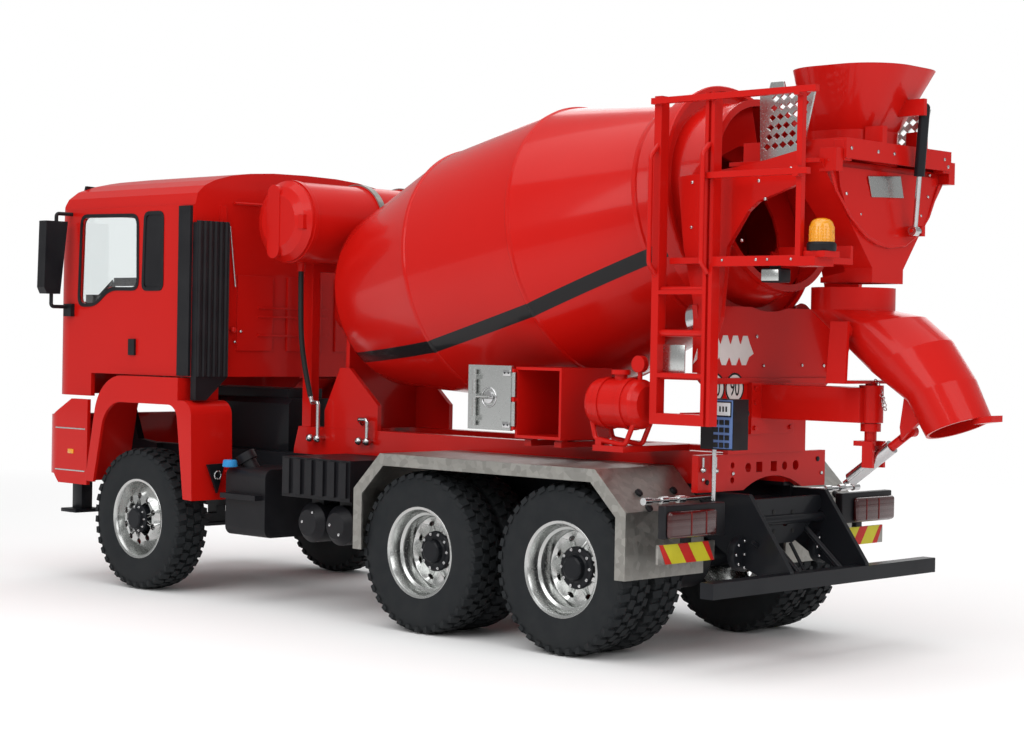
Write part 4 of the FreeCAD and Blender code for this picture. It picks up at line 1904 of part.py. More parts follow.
def make_hose():
    """Flexible hose from the tank outlet to the steel pipe at the stand."""
    points = [Vector(*place) for place in hose_route]
    edges = []
    start = points[0]
    for before, corner, after in zip(points, points[1:], points[2:]):
        back = before - corner
        ahead = after - corner
        reach = 0.45 * min(back.Length, ahead.Length)
        first = corner + back.normalize() * reach
        last = corner + ahead.normalize() * reach
        half = back.getAngle(ahead) / 2
        bend = reach * math.tan(half)
        middle = (back + ahead).normalize()
        crest = corner + middle * (bend / math.sin(half) - bend)
        edges.append(Part.LineSegment(start, first).toShape())
        edges.append(Part.Arc(first, crest, last).toShape())
        start = last
    edges.append(Part.LineSegment(start, points[-1]).toShape())
    path = Part.Wire(edges)
    section = Part.Wire(Part.makeCircle(hose_radius, points[0], points[1] - points[0]))
    hose = path.makePipeShell([section], True, True)
    keep("water_hose", hose)


def make_pipes():
    """Bright steel pipes and ball nuts along the subframe."""
    stand_x = rail_outer_x
    out_x = stand_x + 4
    end = Vector(*hose_route[-1])
    heading = (end - Vector(*hose_route[-2])).normalize()
    low_z = subframe_top_z - 6.3
    first = bent_rod([end, end + heading * 4, Vector(end.x, end.y + 7, end.z - 3), Vector(end.x, end.y + 7, low_z)],
                     pipe_radius, 1.6)
    pieces = [first]
    loop_y = stand_front_y + stand_length * 0.73
    pieces.append(bent_rod([Vector(stand_x, loop_y, stand_shoulder_z - 7), Vector(out_x, loop_y, stand_shoulder_z - 4),
                            Vector(out_x, loop_y + 8, stand_shoulder_z - 4), Vector(out_x, loop_y + 8, low_z)],
                           pipe_radius, 1.8))
    solids = []
    for pipe, pipe_y, foot_x in ((first, end.y + 7, end.x), (pieces[1], loop_y + 8, out_x)):
        ball = Part.makeSphere(2.5, Vector(foot_x, pipe_y, low_z))
        bolt = rod(Vector(rail_outer_x, pipe_y, low_z), Vector(foot_x, pipe_y, low_z), 1.3)
        twin = Part.makeSphere(2.4, Vector(foot_x, pipe_y - 7, low_z))
        twin_bolt = rod(Vector(rail_outer_x, pipe_y - 7, low_z), Vector(foot_x, pipe_y - 7, low_z), 1.3)
        solids.append(joined([pipe, ball, bolt]))
        solids.append(joined([twin, twin_bolt]))
    drain_y = panel_y + plate + 4
    solids.append(rod(Vector(control_outer_x - 6, drain_y, tail_lamp_high_z), Vector(control_outer_x - 6, drain_y,
                                                                                     control_low_z), 1.1))
    blockers = [nodes[name] for name in ("subframe", "drum_stand_front", "control_box", "tail_lamps", "chassis_frame")]
    kept = []
    for solid in solids:
        for blocker in blockers:
            solid = solid.cut(blocker)
        kept += solid.Solids
    keep("hydraulic_pipes", *kept)


make_ladder()
make_platform()
make_lamps()
make_control_box()
make_toolbox()
make_reservoir()
make_water_tank()
make_hose()
make_pipes()

# ---------------------------------------------------------------------- files
os.makedirs("parts", exist_ok=True)
shift = Vector(0, -origin_y, 0)
for name, shape in nodes.items():
    placed = shape.copy()
    placed.translate(shift)
    placed.exportStep(f"parts/{name}.step")
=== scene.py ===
import json
import math

import bmesh
import bpy
from mathutils import Matrix, Vector


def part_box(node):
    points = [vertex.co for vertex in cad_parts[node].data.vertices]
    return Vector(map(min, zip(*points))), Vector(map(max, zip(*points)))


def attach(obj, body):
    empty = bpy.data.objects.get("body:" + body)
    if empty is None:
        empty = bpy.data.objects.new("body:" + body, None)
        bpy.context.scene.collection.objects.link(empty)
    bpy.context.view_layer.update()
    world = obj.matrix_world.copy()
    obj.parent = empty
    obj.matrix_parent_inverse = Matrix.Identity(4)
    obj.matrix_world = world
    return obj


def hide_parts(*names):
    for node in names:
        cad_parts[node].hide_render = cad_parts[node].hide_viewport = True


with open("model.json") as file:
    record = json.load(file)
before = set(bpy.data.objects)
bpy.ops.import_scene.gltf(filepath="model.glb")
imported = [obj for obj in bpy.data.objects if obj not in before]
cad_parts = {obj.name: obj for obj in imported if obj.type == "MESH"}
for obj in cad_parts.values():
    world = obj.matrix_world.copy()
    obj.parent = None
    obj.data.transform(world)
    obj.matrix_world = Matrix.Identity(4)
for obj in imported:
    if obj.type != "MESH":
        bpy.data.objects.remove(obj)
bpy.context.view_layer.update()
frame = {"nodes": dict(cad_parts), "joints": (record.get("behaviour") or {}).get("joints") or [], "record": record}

mm = 0.001
nodes = frame["nodes"]
scene = bpy.context.scene
joints = {joint["name"]: joint for joint in frame["joints"]}
frontAxleY = joints["steer_left"]["pos_m"][1]
record = frame["record"]
bodyOf = {name: body for body, names in record["behaviour"]["bodies"].items() for name in names}
print("frame loaded,", len(nodes), "nodes")


def at(x, y, z):  # millimetres: to the left, behind the front axle, above the ground
    return Vector((x * mm, y * mm + frontAxleY, z * mm))


# ---- materials

socketNames = {"Ior": "IOR", "Gloss": "Specular IOR Level"}  # short names of two sockets


class Wire:
    def __init__(self, finish, socket):
        self.finish = finish
        self.socket = socket

    def __add__(self, other):
        return self.finish.maths("ADD", self, other)

    def __radd__(self, other):
        return self.finish.maths("ADD", other, self)

    def __sub__(self, other):
        return self.finish.maths("SUBTRACT", self, other)

    def __rsub__(self, other):
        return self.finish.maths("SUBTRACT", other, self)

    def __mul__(self, other):
        return self.finish.maths("MULTIPLY", self, other)

    def __rmul__(self, other):
        return self.finish.maths("MULTIPLY", other, self)

    def __truediv__(self, other):
        return self.finish.maths("DIVIDE", self, other)

    def wrap(self, low, high):
        return self.finish.maths("WRAP", self, high, low)

    def shaped(self, low, high, start, end):  # low..high spread over start..end, held at both ends
        return self.finish.node("ShaderNodeMapRange", {}, {"Value": self, "From Min": low, "From Max": high,
                                                           "To Min": start, "To Max": end})


class Finish:
    def __init__(self, name, **fixed):
        self.material = bpy.data.materials.new(name)
        self.material.use_nodes = True
        self.tree = self.material.node_tree
        self.surface = self.tree.nodes["Principled BSDF"]
        self.set(**fixed)
        self.place = self.node("ShaderNodeTexCoord", {}, {}, "Object")

    def set(self, **values):
        for name, value in values.items():
            label = "".join(" " + c if c.isupper() else c for c in name).strip()
            self.plug(self.surface.inputs[socketNames.get(label, label)], value)
        return self

    def plug(self, socket, value):
        if isinstance(value, Wire):
            self.tree.links.new(value.socket, socket)
        elif socket.type == "RGBA" and len(value) == 3:
            socket.default_value = (*value, 1)
        else:
            socket.default_value = value

    def node(self, kind, settings, values, out=0):
        made = self.tree.nodes.new(kind)
        for name, value in settings.items():
            setattr(made, name, value)
        for name, value in values.items():
            self.plug(made.inputs[name], value)
        return Wire(self, made.outputs[out])

    def maths(self, operation, *values):
        return self.node("ShaderNodeMath", {"operation": operation}, dict(enumerate(values)))

    def noise(self, size, detail=3, rough=0.55, place=None):  # size in millimetres
        return self.node("ShaderNodeTexNoise", {}, {"Vector": place or self.place, "Scale": 1 / (size * mm),
                                                    "Detail": detail, "Roughness": rough})

    def mixed(self, factor, first, second):
        return self.node("ShaderNodeMix", {"data_type": "RGBA"}, {0: factor, 6: first, 7: second}, 2)

    def bumped(self, height, strength, depth, radius=0.0):  # depth in millimetres
        values = {"Height": height, "Strength": strength, "Distance": depth * mm}
        if radius:
            values["Normal"] = self.node("ShaderNodeBevel", {"samples": 4}, {"Radius": radius * mm})
        return self.set(Normal=self.node("ShaderNodeBump", {}, values))

    def height(self):  # above the ground, in metres
        return self.node("ShaderNodeSeparateXYZ", {}, {0: self.place}, "Z")


def paint(name, colour, dark, roughness, coat, wear=0.35):
    finish = Finish(name, CoatRoughness=0.08, Gloss=0.12)
    cloud = finish.noise(60, 4)
    grit = finish.noise(1.4, 3)
    dust = finish.noise(14, 5, 0.7).shaped(0.5, 0.8, 0, wear)
    finish.set(BaseColor=finish.mixed(cloud, colour, dark), Roughness=roughness + dust * 0.18,
               CoatWeight=coat - dust * coat * 0.5)
    return finish.bumped(grit, 0.06, 0.12, 0.35).material


def plastic(name, colour, light, roughness, grain=0.5, depth=0.08):
    finish = Finish(name, Gloss=0.22)
    cloud = finish.noise(18, 4)
    grit = finish.noise(grain, 4, 0.7)
    finish.set(BaseColor=finish.mixed(cloud.shaped(0.35, 0.7, 0, 1), colour, light),
               Roughness=roughness + cloud * 0.12)
    return finish.bumped(grit, 0.5, depth, 0.3).material


def metal(name, colour, shade, roughness, grain=(1, 1, 1), size=1.2, depth=0.02):
    finish = Finish(name, Metallic=1.0)
    stretched = finish.node("ShaderNodeMapping", {}, {"Vector": finish.place, "Scale": grain})
    streak = finish.noise(size, 4, 0.6, stretched)
    cloud = finish.noise(22, 3)
    finish.set(BaseColor=finish.mixed(cloud * 0.5 + streak * 0.5, colour, shade),
               Roughness=roughness + (streak - 0.5) * 0.25)
    return finish.bumped(streak, 0.25, depth, 0.25).material


def galvanised(name):  # zinc crystals: flat cells of slightly different greys
    finish = Finish(name, Metallic=0.85)
    cells = finish.node("ShaderNodeTexVoronoi", {}, {"Vector": finish.place, "Scale": 1 / (3.2 * mm)},
                        "Color")
    tone = finish.node("ShaderNodeSeparateColor", {}, {0: cells})
    cloud = finish.noise(25, 4)
    shade = tone * 0.45 + cloud * 0.55
    finish.set(BaseColor=finish.mixed(shade, (0.20, 0.195, 0.18), (0.42, 0.41, 0.38)),
               Roughness=0.34 + tone * 0.16)
    return finish.bumped(tone + finish.noise(1.0, 2) * 0.3, 0.2, 0.03, 0.25).material


def tyreRubber(name):
    finish = Finish(name, Gloss=0.12)
    dust = finish.noise(9, 5, 0.65).shaped(0.4, 0.8, 0, 1)
    low = finish.height().shaped(0.0, 0.02, 0.6, 0.0)  # lighter towards the ground
    finish.set(BaseColor=finish.mixed(dust * 0.35 + low * 0.3, (0.016, 0.018, 0.020), (0.042, 0.043, 0.043)),
               Roughness=0.62 + dust * 0.2)
    return finish.bumped(finish.noise(0.6, 4, 0.7), 0.5, 0.07, 0.3).material


def clearGlass(name, colour, roughness=0.02):
    finish = Finish(name, BaseColor=colour, TransmissionWeight=1.0, Ior=1.45)
    smear = finish.noise(30, 4)
    return finish.set(Roughness=roughness + smear * 0.03).material


def lens(name, colour, pitch, transmission=0.55):  # ribbed coloured lens
    finish = Finish(name, TransmissionWeight=transmission, Ior=1.45, CoatWeight=0.6)
    rib = (finish.height() / (pitch * mm)).wrap(0, 1)
    ridge = finish.maths("PINGPONG", rib, 0.5)
    cloud = finish.noise(4, 2)
    finish.set(BaseColor=finish.mixed(cloud * 0.4, colour, [c * 0.7 for c in colour]),
               Roughness=0.18 + ridge * 0.1)
    return finish.bumped(ridge, 0.5, 0.3).material


redLook = {"colour": (0.54, 0.008, 0.005), "dark": (0.49, 0.006, 0.004), "coat": 0.2}
finishes = {
    "red_paint": paint("redPaint", redLook["colour"], redLook["dark"], 0.3, redLook["coat"]),
    "black_chassis": paint("blackPaint", (0.006, 0.007, 0.009), (0.011, 0.012, 0.015), 0.4, 0.12, 0.5),
    "black_plastic": plastic("blackPlastic", (0.006, 0.006, 0.008), (0.012, 0.012, 0.014), 0.38),
    "galvanised": galvanised("galvanisedSheet"),
    "silver": metal("polishedAlloy", (0.62, 0.63, 0.62), (0.42, 0.43, 0.42), 0.24),
    "bright_steel": metal("brightSteel", (0.66, 0.66, 0.66), (0.45, 0.45, 0.46), 0.2),
    "tyre": tyreRubber("tyreRubber"),
    "rubber": plastic("hoseRubber", (0.012, 0.012, 0.012), (0.02, 0.02, 0.02), 0.5, 0.9, 0.1),
    "glass": clearGlass("clearGlass", (0.93, 0.96, 0.96)),
    "lamp_amber": lens("amberLens", (0.9, 0.36, 0.01), 1.4, 0.15),
    "lamp_red": lens("redLens", (0.045, 0.004, 0.004), 3.2, 0.0),
    "interior": plastic("cabInterior", (0.025, 0.025, 0.028), (0.05, 0.05, 0.052), 0.55),
}
slotOf = {part["node"]: part["material_slot"] for part in record["subparts"]}
for name, obj in nodes.items():
    obj.data.materials.clear()
    obj.data.materials.append(finishes[slotOf[name]])
print("materials on", len(nodes), "nodes")


# ---- shaping

def ring(bm, centre, axis, radius, steps):  # a circle of vertices and edges
    turned = Vector(axis).to_track_quat("Z", "Y").to_matrix().to_4x4()
    made = bmesh.ops.create_circle(bm, cap_ends=False, radius=radius, segments=steps,
                                   matrix=Matrix.Translation(centre) @ turned)
    return made["verts"]


def bevelled(bm, edges, width, segments=2):
    bmesh.ops.bevel(bm, geom=list(edges), offset=width * mm, segments=segments, profile=0.5,
                    affect="EDGES", material=-1)


def rod(bm, start, end, radius, endRadius=None, sides=20, round=0.0):
    start, end = Vector(start), Vector(end)
    turned = (end - start).to_track_quat("Z", "Y").to_matrix().to_4x4()
    made = bmesh.ops.create_cone(bm, cap_ends=True, segments=sides, radius1=radius * mm,
                                 radius2=(radius if endRadius is None else endRadius) * mm,
                                 depth=(end - start).length,
                                 matrix=Matrix.Translation((start + end) / 2) @ turned)
    if round:
        bevelled(bm, {edge for vert in made["verts"] for edge in vert.link_edges
                      if any(len(face.verts) > 4 for face in edge.link_faces)}, round)


def block(bm, low, high, round=0.0, segments=2):
    low, high = Vector(low), Vector(high)
    place = Matrix.Translation((low + high) / 2)
    made = bmesh.ops.create_cube(bm, size=1, matrix=place @ Matrix.Diagonal((*(high - low), 1)))
    if round:
        bevelled(bm, {edge for vert in made["verts"] for edge in vert.link_edges}, round, segments)


def blockPair(bm, low, high, round, segments=2):  # one on each side, given for the left
    for side in (-1, 1):
        first, last = at(side * low[0], *low[1:]), at(side * high[0], *high[1:])
        first.x, last.x = min(first.x, last.x), max(first.x, last.x)
        block(bm, first, last, round, segments)


# profile in millimetres along the axis and out from it
def lathe(bm, profile, centre, axis, steps=96, closed=True):
    axis = Vector(axis).normalized()
    out = axis.orthogonal().normalized()
    line = [bm.verts.new(centre + axis * (along * mm) + out * (radius * mm)) for along, radius in profile]
    edges = [bm.edges.new(pair) for pair in zip(line, line[1:])]
    if closed:
        edges.append(bm.edges.new((line[-1], line[0])))
    bmesh.ops.spin(bm, geom=line + edges, cent=centre, axis=axis, angle=math.tau, steps=steps,
                   use_merge=True)


def slab(bm, outline, thickness, holes=()):  # a flat outline with holes, given a thickness along a vector
    loops = []
    for points in (outline, *holes):
        verts = [bm.verts.new(point) for point in points]
        loops += [bm.edges.new(pair) for pair in zip(verts, verts[1:] + verts[:1])]
    made = bmesh.ops.triangle_fill(bm, use_beauty=True, use_dissolve=False, edges=loops)
    faces = [item for item in made["geom"] if isinstance(item, bmesh.types.BMFace)]
    extruded = bmesh.ops.extrude_face_region(bm, geom=faces, use_keep_orig=True)
    moved = [item for item in extruded["geom"] if isinstance(item, bmesh.types.BMVert)]
    bmesh.ops.translate(bm, verts=moved, vec=thickness)


def circlePoints(centre, axis, radius, steps=16):
    turned = Vector(axis).to_track_quat("Z", "Y").to_matrix()
    return [centre + turned @ Vector((radius * mm * math.cos(math.tau * k / steps),
                                      radius * mm * math.sin(math.tau * k / steps), 0)) for k in range(steps)]


def between(line, place):  # the second value where the first one is place, read off straight lines
    for (start, first), (end, last) in zip(line, line[1:]):
        if start <= place <= end + 1e-6:
            return first + (last - first) * (place - start) / (end - start)
    return line[-1][1]


def spoke(angle):  # a unit vector across the truck's X axis
    return Vector((0, math.cos(angle), math.sin(angle)))


def finishPiece(bm, name, finish, body, slot=None, smooth=32, replaces=()):
    bmesh.ops.remove_doubles(bm, verts=bm.verts, dist=1e-6)
    bmesh.ops.recalc_face_normals(bm, faces=bm.faces)
    mesh = bpy.data.meshes.new(name)
    bm.to_mesh(mesh)
    bm.free()
    mesh.shade_smooth()
    mesh.set_sharp_from_angle(angle=math.radians(smooth))
    mesh.materials.append(finishes[finish])
    piece = bpy.data.objects.new(name, mesh)
    scene.collection.objects.link(piece)
    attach(piece, body)
    if replaces:
        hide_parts(*replaces)


# ---- wheels

wheel = {"dualGap": 2.6, "rimRadius": 23.4, "lugs": 38, "lugDepth": 1.7, "lugTwist": 0.22, "bolts": 10,
         "flange": [(1.2, 24.6), (0.4, 24.9), (-0.3, 24.3), (0.2, 22.9)], "backRadius": 22.9,
         "rows": ((0.50, 0.97, 0.0, 0.62), (-0.97, -0.50, 0.5, 0.62), (0.04, 0.44, 0.5, 0.7),
                  (-0.44, -0.04, 0.0, 0.7))}  # from, to, shift and length of the lugs in each row
frontWheel = {"tyreWidth": 23.0, "rimDepth": 20.0, "bore": 20.0,
              "dish": [(1.8, 21.9), (5.0, 21.4), (7.5, 20.2)],
              "levels": [(8.4, -0.6), (12.0, -1.2), (15.6, -1.6), (17.6, -3.4), (19.4, -7.0), (20.6, -8.6)],
              "holes": 10, "holeRadius": 1.9, "holeCircle": 14.0, "squash": 1.0,
              "hubFace": 0.2, "hubRadius": 8.8, "cap": [(0.4, 6.6), (2.4, 6.2), (2.9, 5.4), (2.9, 0.0)],
              "hubBack": -2.2, "boltCircle": 7.4}
rearWheel = {"tyreWidth": 22.0, "rimDepth": 43.6,
             "dish": [(2.4, 21.6), (6.0, 21.0), (6.8, 19.6), (7.6, 19.2), (15.0, 18.6)], "bore": 18.6,
             "levels": [(9.0, -12.2), (11.5, -13.0), (14.0, -14.6), (17.4, -15.0), (18.9, -13.6)],
             "holes": 8, "holeRadius": 2.1, "holeCircle": 15.4, "squash": 0.62,
             "hubFace": -11.6, "hubRadius": 10.8, "hubBack": -14.0, "boltCircle": 9.4,
             "cap": [(0, 7.6), (0.6, 6.6), (3.0, 6.0), (3.6, 5.0), (3.6, 0.0)]}


def treadLug(bm, centre, half, crown, angle, row):
    low, high, shift, share = wheel["rows"][row]
    outerRow = row < 2
    middle = half * (low + high) / 2 * mm
    long = math.tau * crown / wheel["lugs"] * share
    tall = wheel["lugDepth"]
    place = Matrix.Translation(centre) @ Matrix.Rotation(angle, 4, "X")
    size = Matrix.Diagonal(((high - low) * half * mm, long * mm, (tall + 0.8) * mm, 1))
    made = bmesh.ops.create_cube(
        bm, size=1, matrix=place @ Matrix.Translation((middle, 0, (crown + tall / 2 - 0.4) * mm)) @ size)
    twist = wheel["lugTwist"] * (1 if row in (0, 3) else -1)
    bmesh.ops.rotate(bm, verts=made["verts"], cent=place @ Vector((middle, 0, crown * mm)),
                     matrix=Matrix.Rotation(twist, 3, place.to_3x3() @ Vector((0, 0, 1))))
    for vert in made["verts"]:  # the shoulder drops away at the outer ends
        local = place.inverted() @ vert.co
        out = (abs(local.x) / mm) / half
        if out > 0.8:
            drop = (1.6 if outerRow else 0.4) * mm * (out - 0.8) / 0.2
            vert.co = place @ Vector((local.x, local.y * 0.9, local.z - drop))


def tyreShape(bm, outer, side, axle, width, radius):
    rimRadius, lugs = wheel["rimRadius"], wheel["lugs"]
    half = width / 2
    crown = radius - wheel["lugDepth"]
    wall = []
    for k in range(13):  # side wall from the bead to the shoulder
        turn = math.pi * (0.08 + 0.80 * k / 12)
        out = rimRadius + 0.3 + (crown - 1.2 - rimRadius) * k / 12
        wall.append((half * (0.80 + 0.20 * math.sin(turn)), out))
    wall += [(half * 0.84, crown - 0.3), (half * 0.7, crown)]
    profile = [(-along, out) for along, out in wall] + [(along, out) for along, out in reversed(wall)]
    centre = Vector((side * (outer - half) * mm, axle.y, axle.z))
    lathe(bm, profile, centre, (1, 0, 0), 84)
    for k in range(lugs):
        for row, (low, high, shift, share) in enumerate(wheel["rows"]):
            treadLug(bm, centre, half, crown, math.tau * (k + shift) / lugs, row)


def makeTyres():
    for name in nodes:
        if not name.startswith("tyre"):
            continue
        low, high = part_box(name)
        side = 1 if low.x > 0 else -1
        outer = max(abs(low.x), abs(high.x)) / mm
        radius = (high.z - low.z) / 2 / mm
        front = "front" in name
        width = (frontWheel if front else rearWheel)["tyreWidth"]
        bm = bmesh.new()
        tyreShape(bm, outer, side, (low + high) / 2, width, radius)
        if not front:
            tyreShape(bm, outer - width - wheel["dualGap"], side, (low + high) / 2, width, radius)
        finishPiece(bm, "tread_" + name, "tyre", bodyOf[name], smooth=35, replaces=(name,))


def disc(bm, centre, side, look, thickness=1.4, steps=60):  # the pierced, dished disc of a rim
    levels, holes = look["levels"], look["holes"]
    turns = [math.tau * k / steps for k in range(steps)]
    edges = [[Vector((0, radius * mm * math.cos(turn), radius * mm * math.sin(turn))) for turn in turns]
             for radius in (levels[-1][0], levels[0][0])]
    cuts = []
    for k in range(holes):
        angle = math.tau * (k + 0.5) / holes
        out = spoke(angle)
        along = Vector((0, -out.z, out.y))
        cuts.append([(out * (look["holeCircle"] + look["holeRadius"] * look["squash"] * math.sin(turn))
                      + along * look["holeRadius"] * math.cos(turn)) * mm
                     for turn in (math.tau * j / 18 for j in range(18))])
    before = set(bm.verts)
    slab(bm, edges[0], Vector((-side * thickness * mm, 0, 0)), [edges[1]] + cuts)
    for vert in set(bm.verts) - before:
        vert.co.x += side * between(levels, math.hypot(vert.co.y, vert.co.z) / mm) * mm
        vert.co += centre


def makeHub(name, centre, side, back, look):
    face, radius = look["hubFace"], look["hubRadius"]
    reach = (centre - back).length / mm
    profile = [(-reach + 0.1, 3.1), (-reach + 0.1, 8.4), (face - 2.5, 8.4), (face - 2.5, radius),
               (face - 0.5, radius), (face, radius - 0.6)]
    profile += [(face + along, out) for along, out in look["cap"]]
    profile += [(look["hubBack"], 0.0), (look["hubBack"], 3.1)]
    bm = bmesh.new()
    lathe(bm, profile, centre, (side, 0, 0), 48)
    finishPiece(bm, "hub_" + name, "black_chassis", bodyOf[name], smooth=30)


def makeBolts(name, centre, side, look):
    bm = bmesh.new()
    outward = Vector((side * mm, 0, 0))
    for k in range(wheel["bolts"]):
        out = spoke(math.tau * k / wheel["bolts"]) * look["boltCircle"] * mm
        foot = centre + outward * look["hubFace"] + out
        rod(bm, foot - outward, foot + outward * 0.7, 0.85, sides=6)
        rod(bm, foot, foot + outward * 1.3, 0.45, 0.35, sides=10)
    finishPiece(bm, "bolts_" + name, "bright_steel", bodyOf[name])


def makeRims():
    for name in nodes:
        if not name.startswith("rim_"):
            continue
        low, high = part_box(name)
        side = 1 if low.x + high.x > 0 else -1
        axle = (low + high) / 2
        centre = Vector((max(abs(low.x), abs(high.x)) * side, axle.y, axle.z))
        look = frontWheel if "front" in name else rearWheel
        depth = look["rimDepth"]
        bm = bmesh.new()
        disc(bm, centre, side, look)
        profile = wheel["flange"] + look["dish"] + [(depth, look["bore"]), (depth, wheel["backRadius"]),
                                                    (wheel["flange"][0][0], wheel["backRadius"])]
        lathe(bm, profile, centre, (-side, 0, 0), 96)
        finishPiece(bm, "turned_" + name, "silver", bodyOf[name], smooth=30, replaces=(name,))
        makeHub(name, centre, side, Vector((high.x if side < 0 else low.x, axle.y, axle.z)), look)
        makeBolts(name, centre, side, look)


makeTyres()
makeRims()
print("wheels made")


# ---- drum

drum = {"nose": [(-103, 5.1), (-103, 12), (-97, 12.5), (-97, 43), (-96, 45.5), (-93, 49.5), (-88, 52.6)],
        "outline": [(-90, 52.0), (-10, 72.0), (73, 75.6), (190, 48.0)],
        "seams": (-10, 73, 146), "seamRise": 0.55,
        "stations": (-70, -50, -30, 20, 45, 100, 120, 185), "mouthRadius": 50.0, "wall": 1.6,
        "ringAt": 165.0, "ringWidth": 9.0, "ringRadius": 62.6, "ringRise": 3.0, "webWidth": 3.0,
        "stripeWidth": 8.0, "stripeFrom": 53.8, "stripeTwist": 0.075, "paintFrom": -92, "paintTo": 158,
        "stripeColour": (0.012, 0.012, 0.013)}
drumAxis = Vector(joints["drum_spin"]["axis"]).normalized()
drumCentre = Vector(joints["drum_spin"]["pos_m"])
drumUp = Vector((1, 0, 0)).cross(drumAxis)


def stripedPaint():
    finish = Finish("stripedRedPaint", CoatRoughness=0.06, Gloss=0.12)
    offset = finish.node("ShaderNodeVectorMath", {"operation": "SUBTRACT"}, {0: finish.place, 1: drumCentre},
                         "Vector")
    along, up, across = [
        finish.node("ShaderNodeVectorMath", {"operation": "DOT_PRODUCT"}, {0: offset, 1: way}, "Value") / mm
        for way in (drumAxis, drumUp, Vector((1, 0, 0)))]
    angle = finish.maths("ARCTAN2", across, up * -1)
    radius = finish.maths("SQRT", up * up + across * across)
    middle = (along * drum["stripeTwist"] + drum["stripeFrom"]) * math.radians(1)
    distance = finish.maths("ABSOLUTE", (angle - middle) * radius)
    edge, start, end = drum["stripeWidth"] / 2, drum["paintFrom"], drum["paintTo"]
    black = distance.shaped(edge - 0.15, edge + 0.15, 1, 0)
    outside = along.shaped(end, end + 0.4, 1, 0) * along.shaped(start, start + 0.4, 0, 1)
    cloud = finish.noise(60, 4)
    dust = finish.noise(14, 5, 0.7).shaped(0.45, 0.75, 0, 0.25)
    red = finish.mixed(cloud, redLook["colour"], redLook["dark"])
    finish.set(BaseColor=finish.mixed(black * outside, red, drum["stripeColour"]), Roughness=0.2 + dust * 0.16,
               CoatWeight=redLook["coat"] - dust * 0.08)
    wave = finish.noise(28, 2)
    return finish.bumped(wave + finish.noise(1.6, 3) * 0.04, 0.2, 0.5, 0.35).material


def drumRadius(along):
    return between(drum["outline"], along)


def rollerRing():  # a web and a flat tread, from the front to the rear of the ring
    middle, outer, half, web = drum["ringAt"], drum["ringRadius"], drum["ringWidth"] / 2, drum["webWidth"] / 2
    foot, inner = drumRadius(middle), outer - drum["ringRise"]
    front = [(-web, foot), (-web + 0.01, inner), (-half, inner + 0.01), (-half + 0.01, outer - 0.6),
             (-half + 0.6, outer)]
    rear = [(half - 0.6, outer), (half - 0.01, outer - 0.6), (half, inner + 0.01), (web - 0.01, inner),
            (web, foot)]
    return [(middle + along, out) for along, out in front + rear]


def makeDrum():
    outside = [(along, drumRadius(along)) for along in drum["stations"]]
    for seam in drum["seams"]:  # a raised bead at each seam
        top = drumRadius(seam) + drum["seamRise"]
        outside += [(seam - 1.6, drumRadius(seam - 1.6)), (seam - 0.8, top), (seam + 0.8, top),
                    (seam + 1.6, drumRadius(seam + 1.6))]
    outside.sort()
    wall, mouth = drum["wall"], drum["mouthRadius"]
    (front, frontRadius), (rear, rearRadius), (end, endRadius) = drum["outline"][1:]
    profile = drum["nose"] + [spot for spot in outside if spot[0] < drum["ringAt"]]
    profile += rollerRing() + [spot for spot in outside if spot[0] > drum["ringAt"]]
    profile += [(end - 3, drumRadius(end - 3)), (end - 3, mouth), (end, mouth), (end, endRadius - wall),
                (rear, rearRadius - wall), (front, frontRadius - wall), (-89, 50.4), (-95.4, 42), (-95.4, 5.1)]
    bm = bmesh.new()
    lathe(bm, profile, drumCentre, drumAxis, 144)
    finishPiece(bm, "drumShell", "stripedRedPaint", "drum", "red_paint", smooth=24, replaces=("drum",))


finishes["stripedRedPaint"] = stripedPaint()
makeDrum()
print("drum made")


# ---- small parts

def newPieces(finish, *makers, body="chassis", **kept):  # one mesh for each function, named after it
    for make in makers:
        bm = bmesh.new()
        make(bm)
        finishPiece(bm, make.__name__, finish, body, **kept)


def heads(bm, spots, way, radius, height, sides=10):  # domed screw heads standing on a face
    way = Vector(way)
    for spot in spots:
        foot = at(*spot)
        rod(bm, foot - way * 0.5 * mm, foot + way * height * 0.6 * mm, radius, sides=sides)
        rod(bm, foot + way * height * 0.6 * mm, foot + way * height * mm, radius, radius * 0.55, sides=sides)


def wires(bm, runs, radius, sides=12):  # round wire along points, with a ball at every bend
    for run in runs:
        spots = [at(*spot) for spot in run]
        for start, end in zip(spots, spots[1:]):
            rod(bm, start, end, radius, sides=sides)
        for spot in spots[1:-1]:
            ball(bm, spot, radius, 2)


def ball(bm, centre, radius, detail):
    bmesh.ops.create_icosphere(bm, subdivisions=detail, radius=radius * mm, matrix=Matrix.Translation(centre))


def balls(bm, spots, radius):
    for spot in spots:
        ball(bm, at(*spot), radius, 3)


def loops(bm, centres, way, radius, wire, steps=28):  # rings of round wire
    way = Vector(way).normalized()
    out = way.orthogonal().normalized()
    for centre in centres:
        middle = at(*centre)
        made = ring(bm, middle + out * radius * mm, way.cross(out), wire * mm, 10)
        edges = list({edge for vert in made for edge in vert.link_edges})
        bmesh.ops.spin(bm, geom=list(made) + edges, cent=middle, axis=way, angle=math.tau, steps=steps,
                       use_merge=True)


def plates(bm, outlines, thickness, holes=()):  # flat plates, each outline in millimetres
    for outline in outlines:
        cuts = [[at(*spot) for spot in hole] for hole in holes]
        slab(bm, [at(*spot) for spot in outline], Vector(thickness) * mm, cuts)


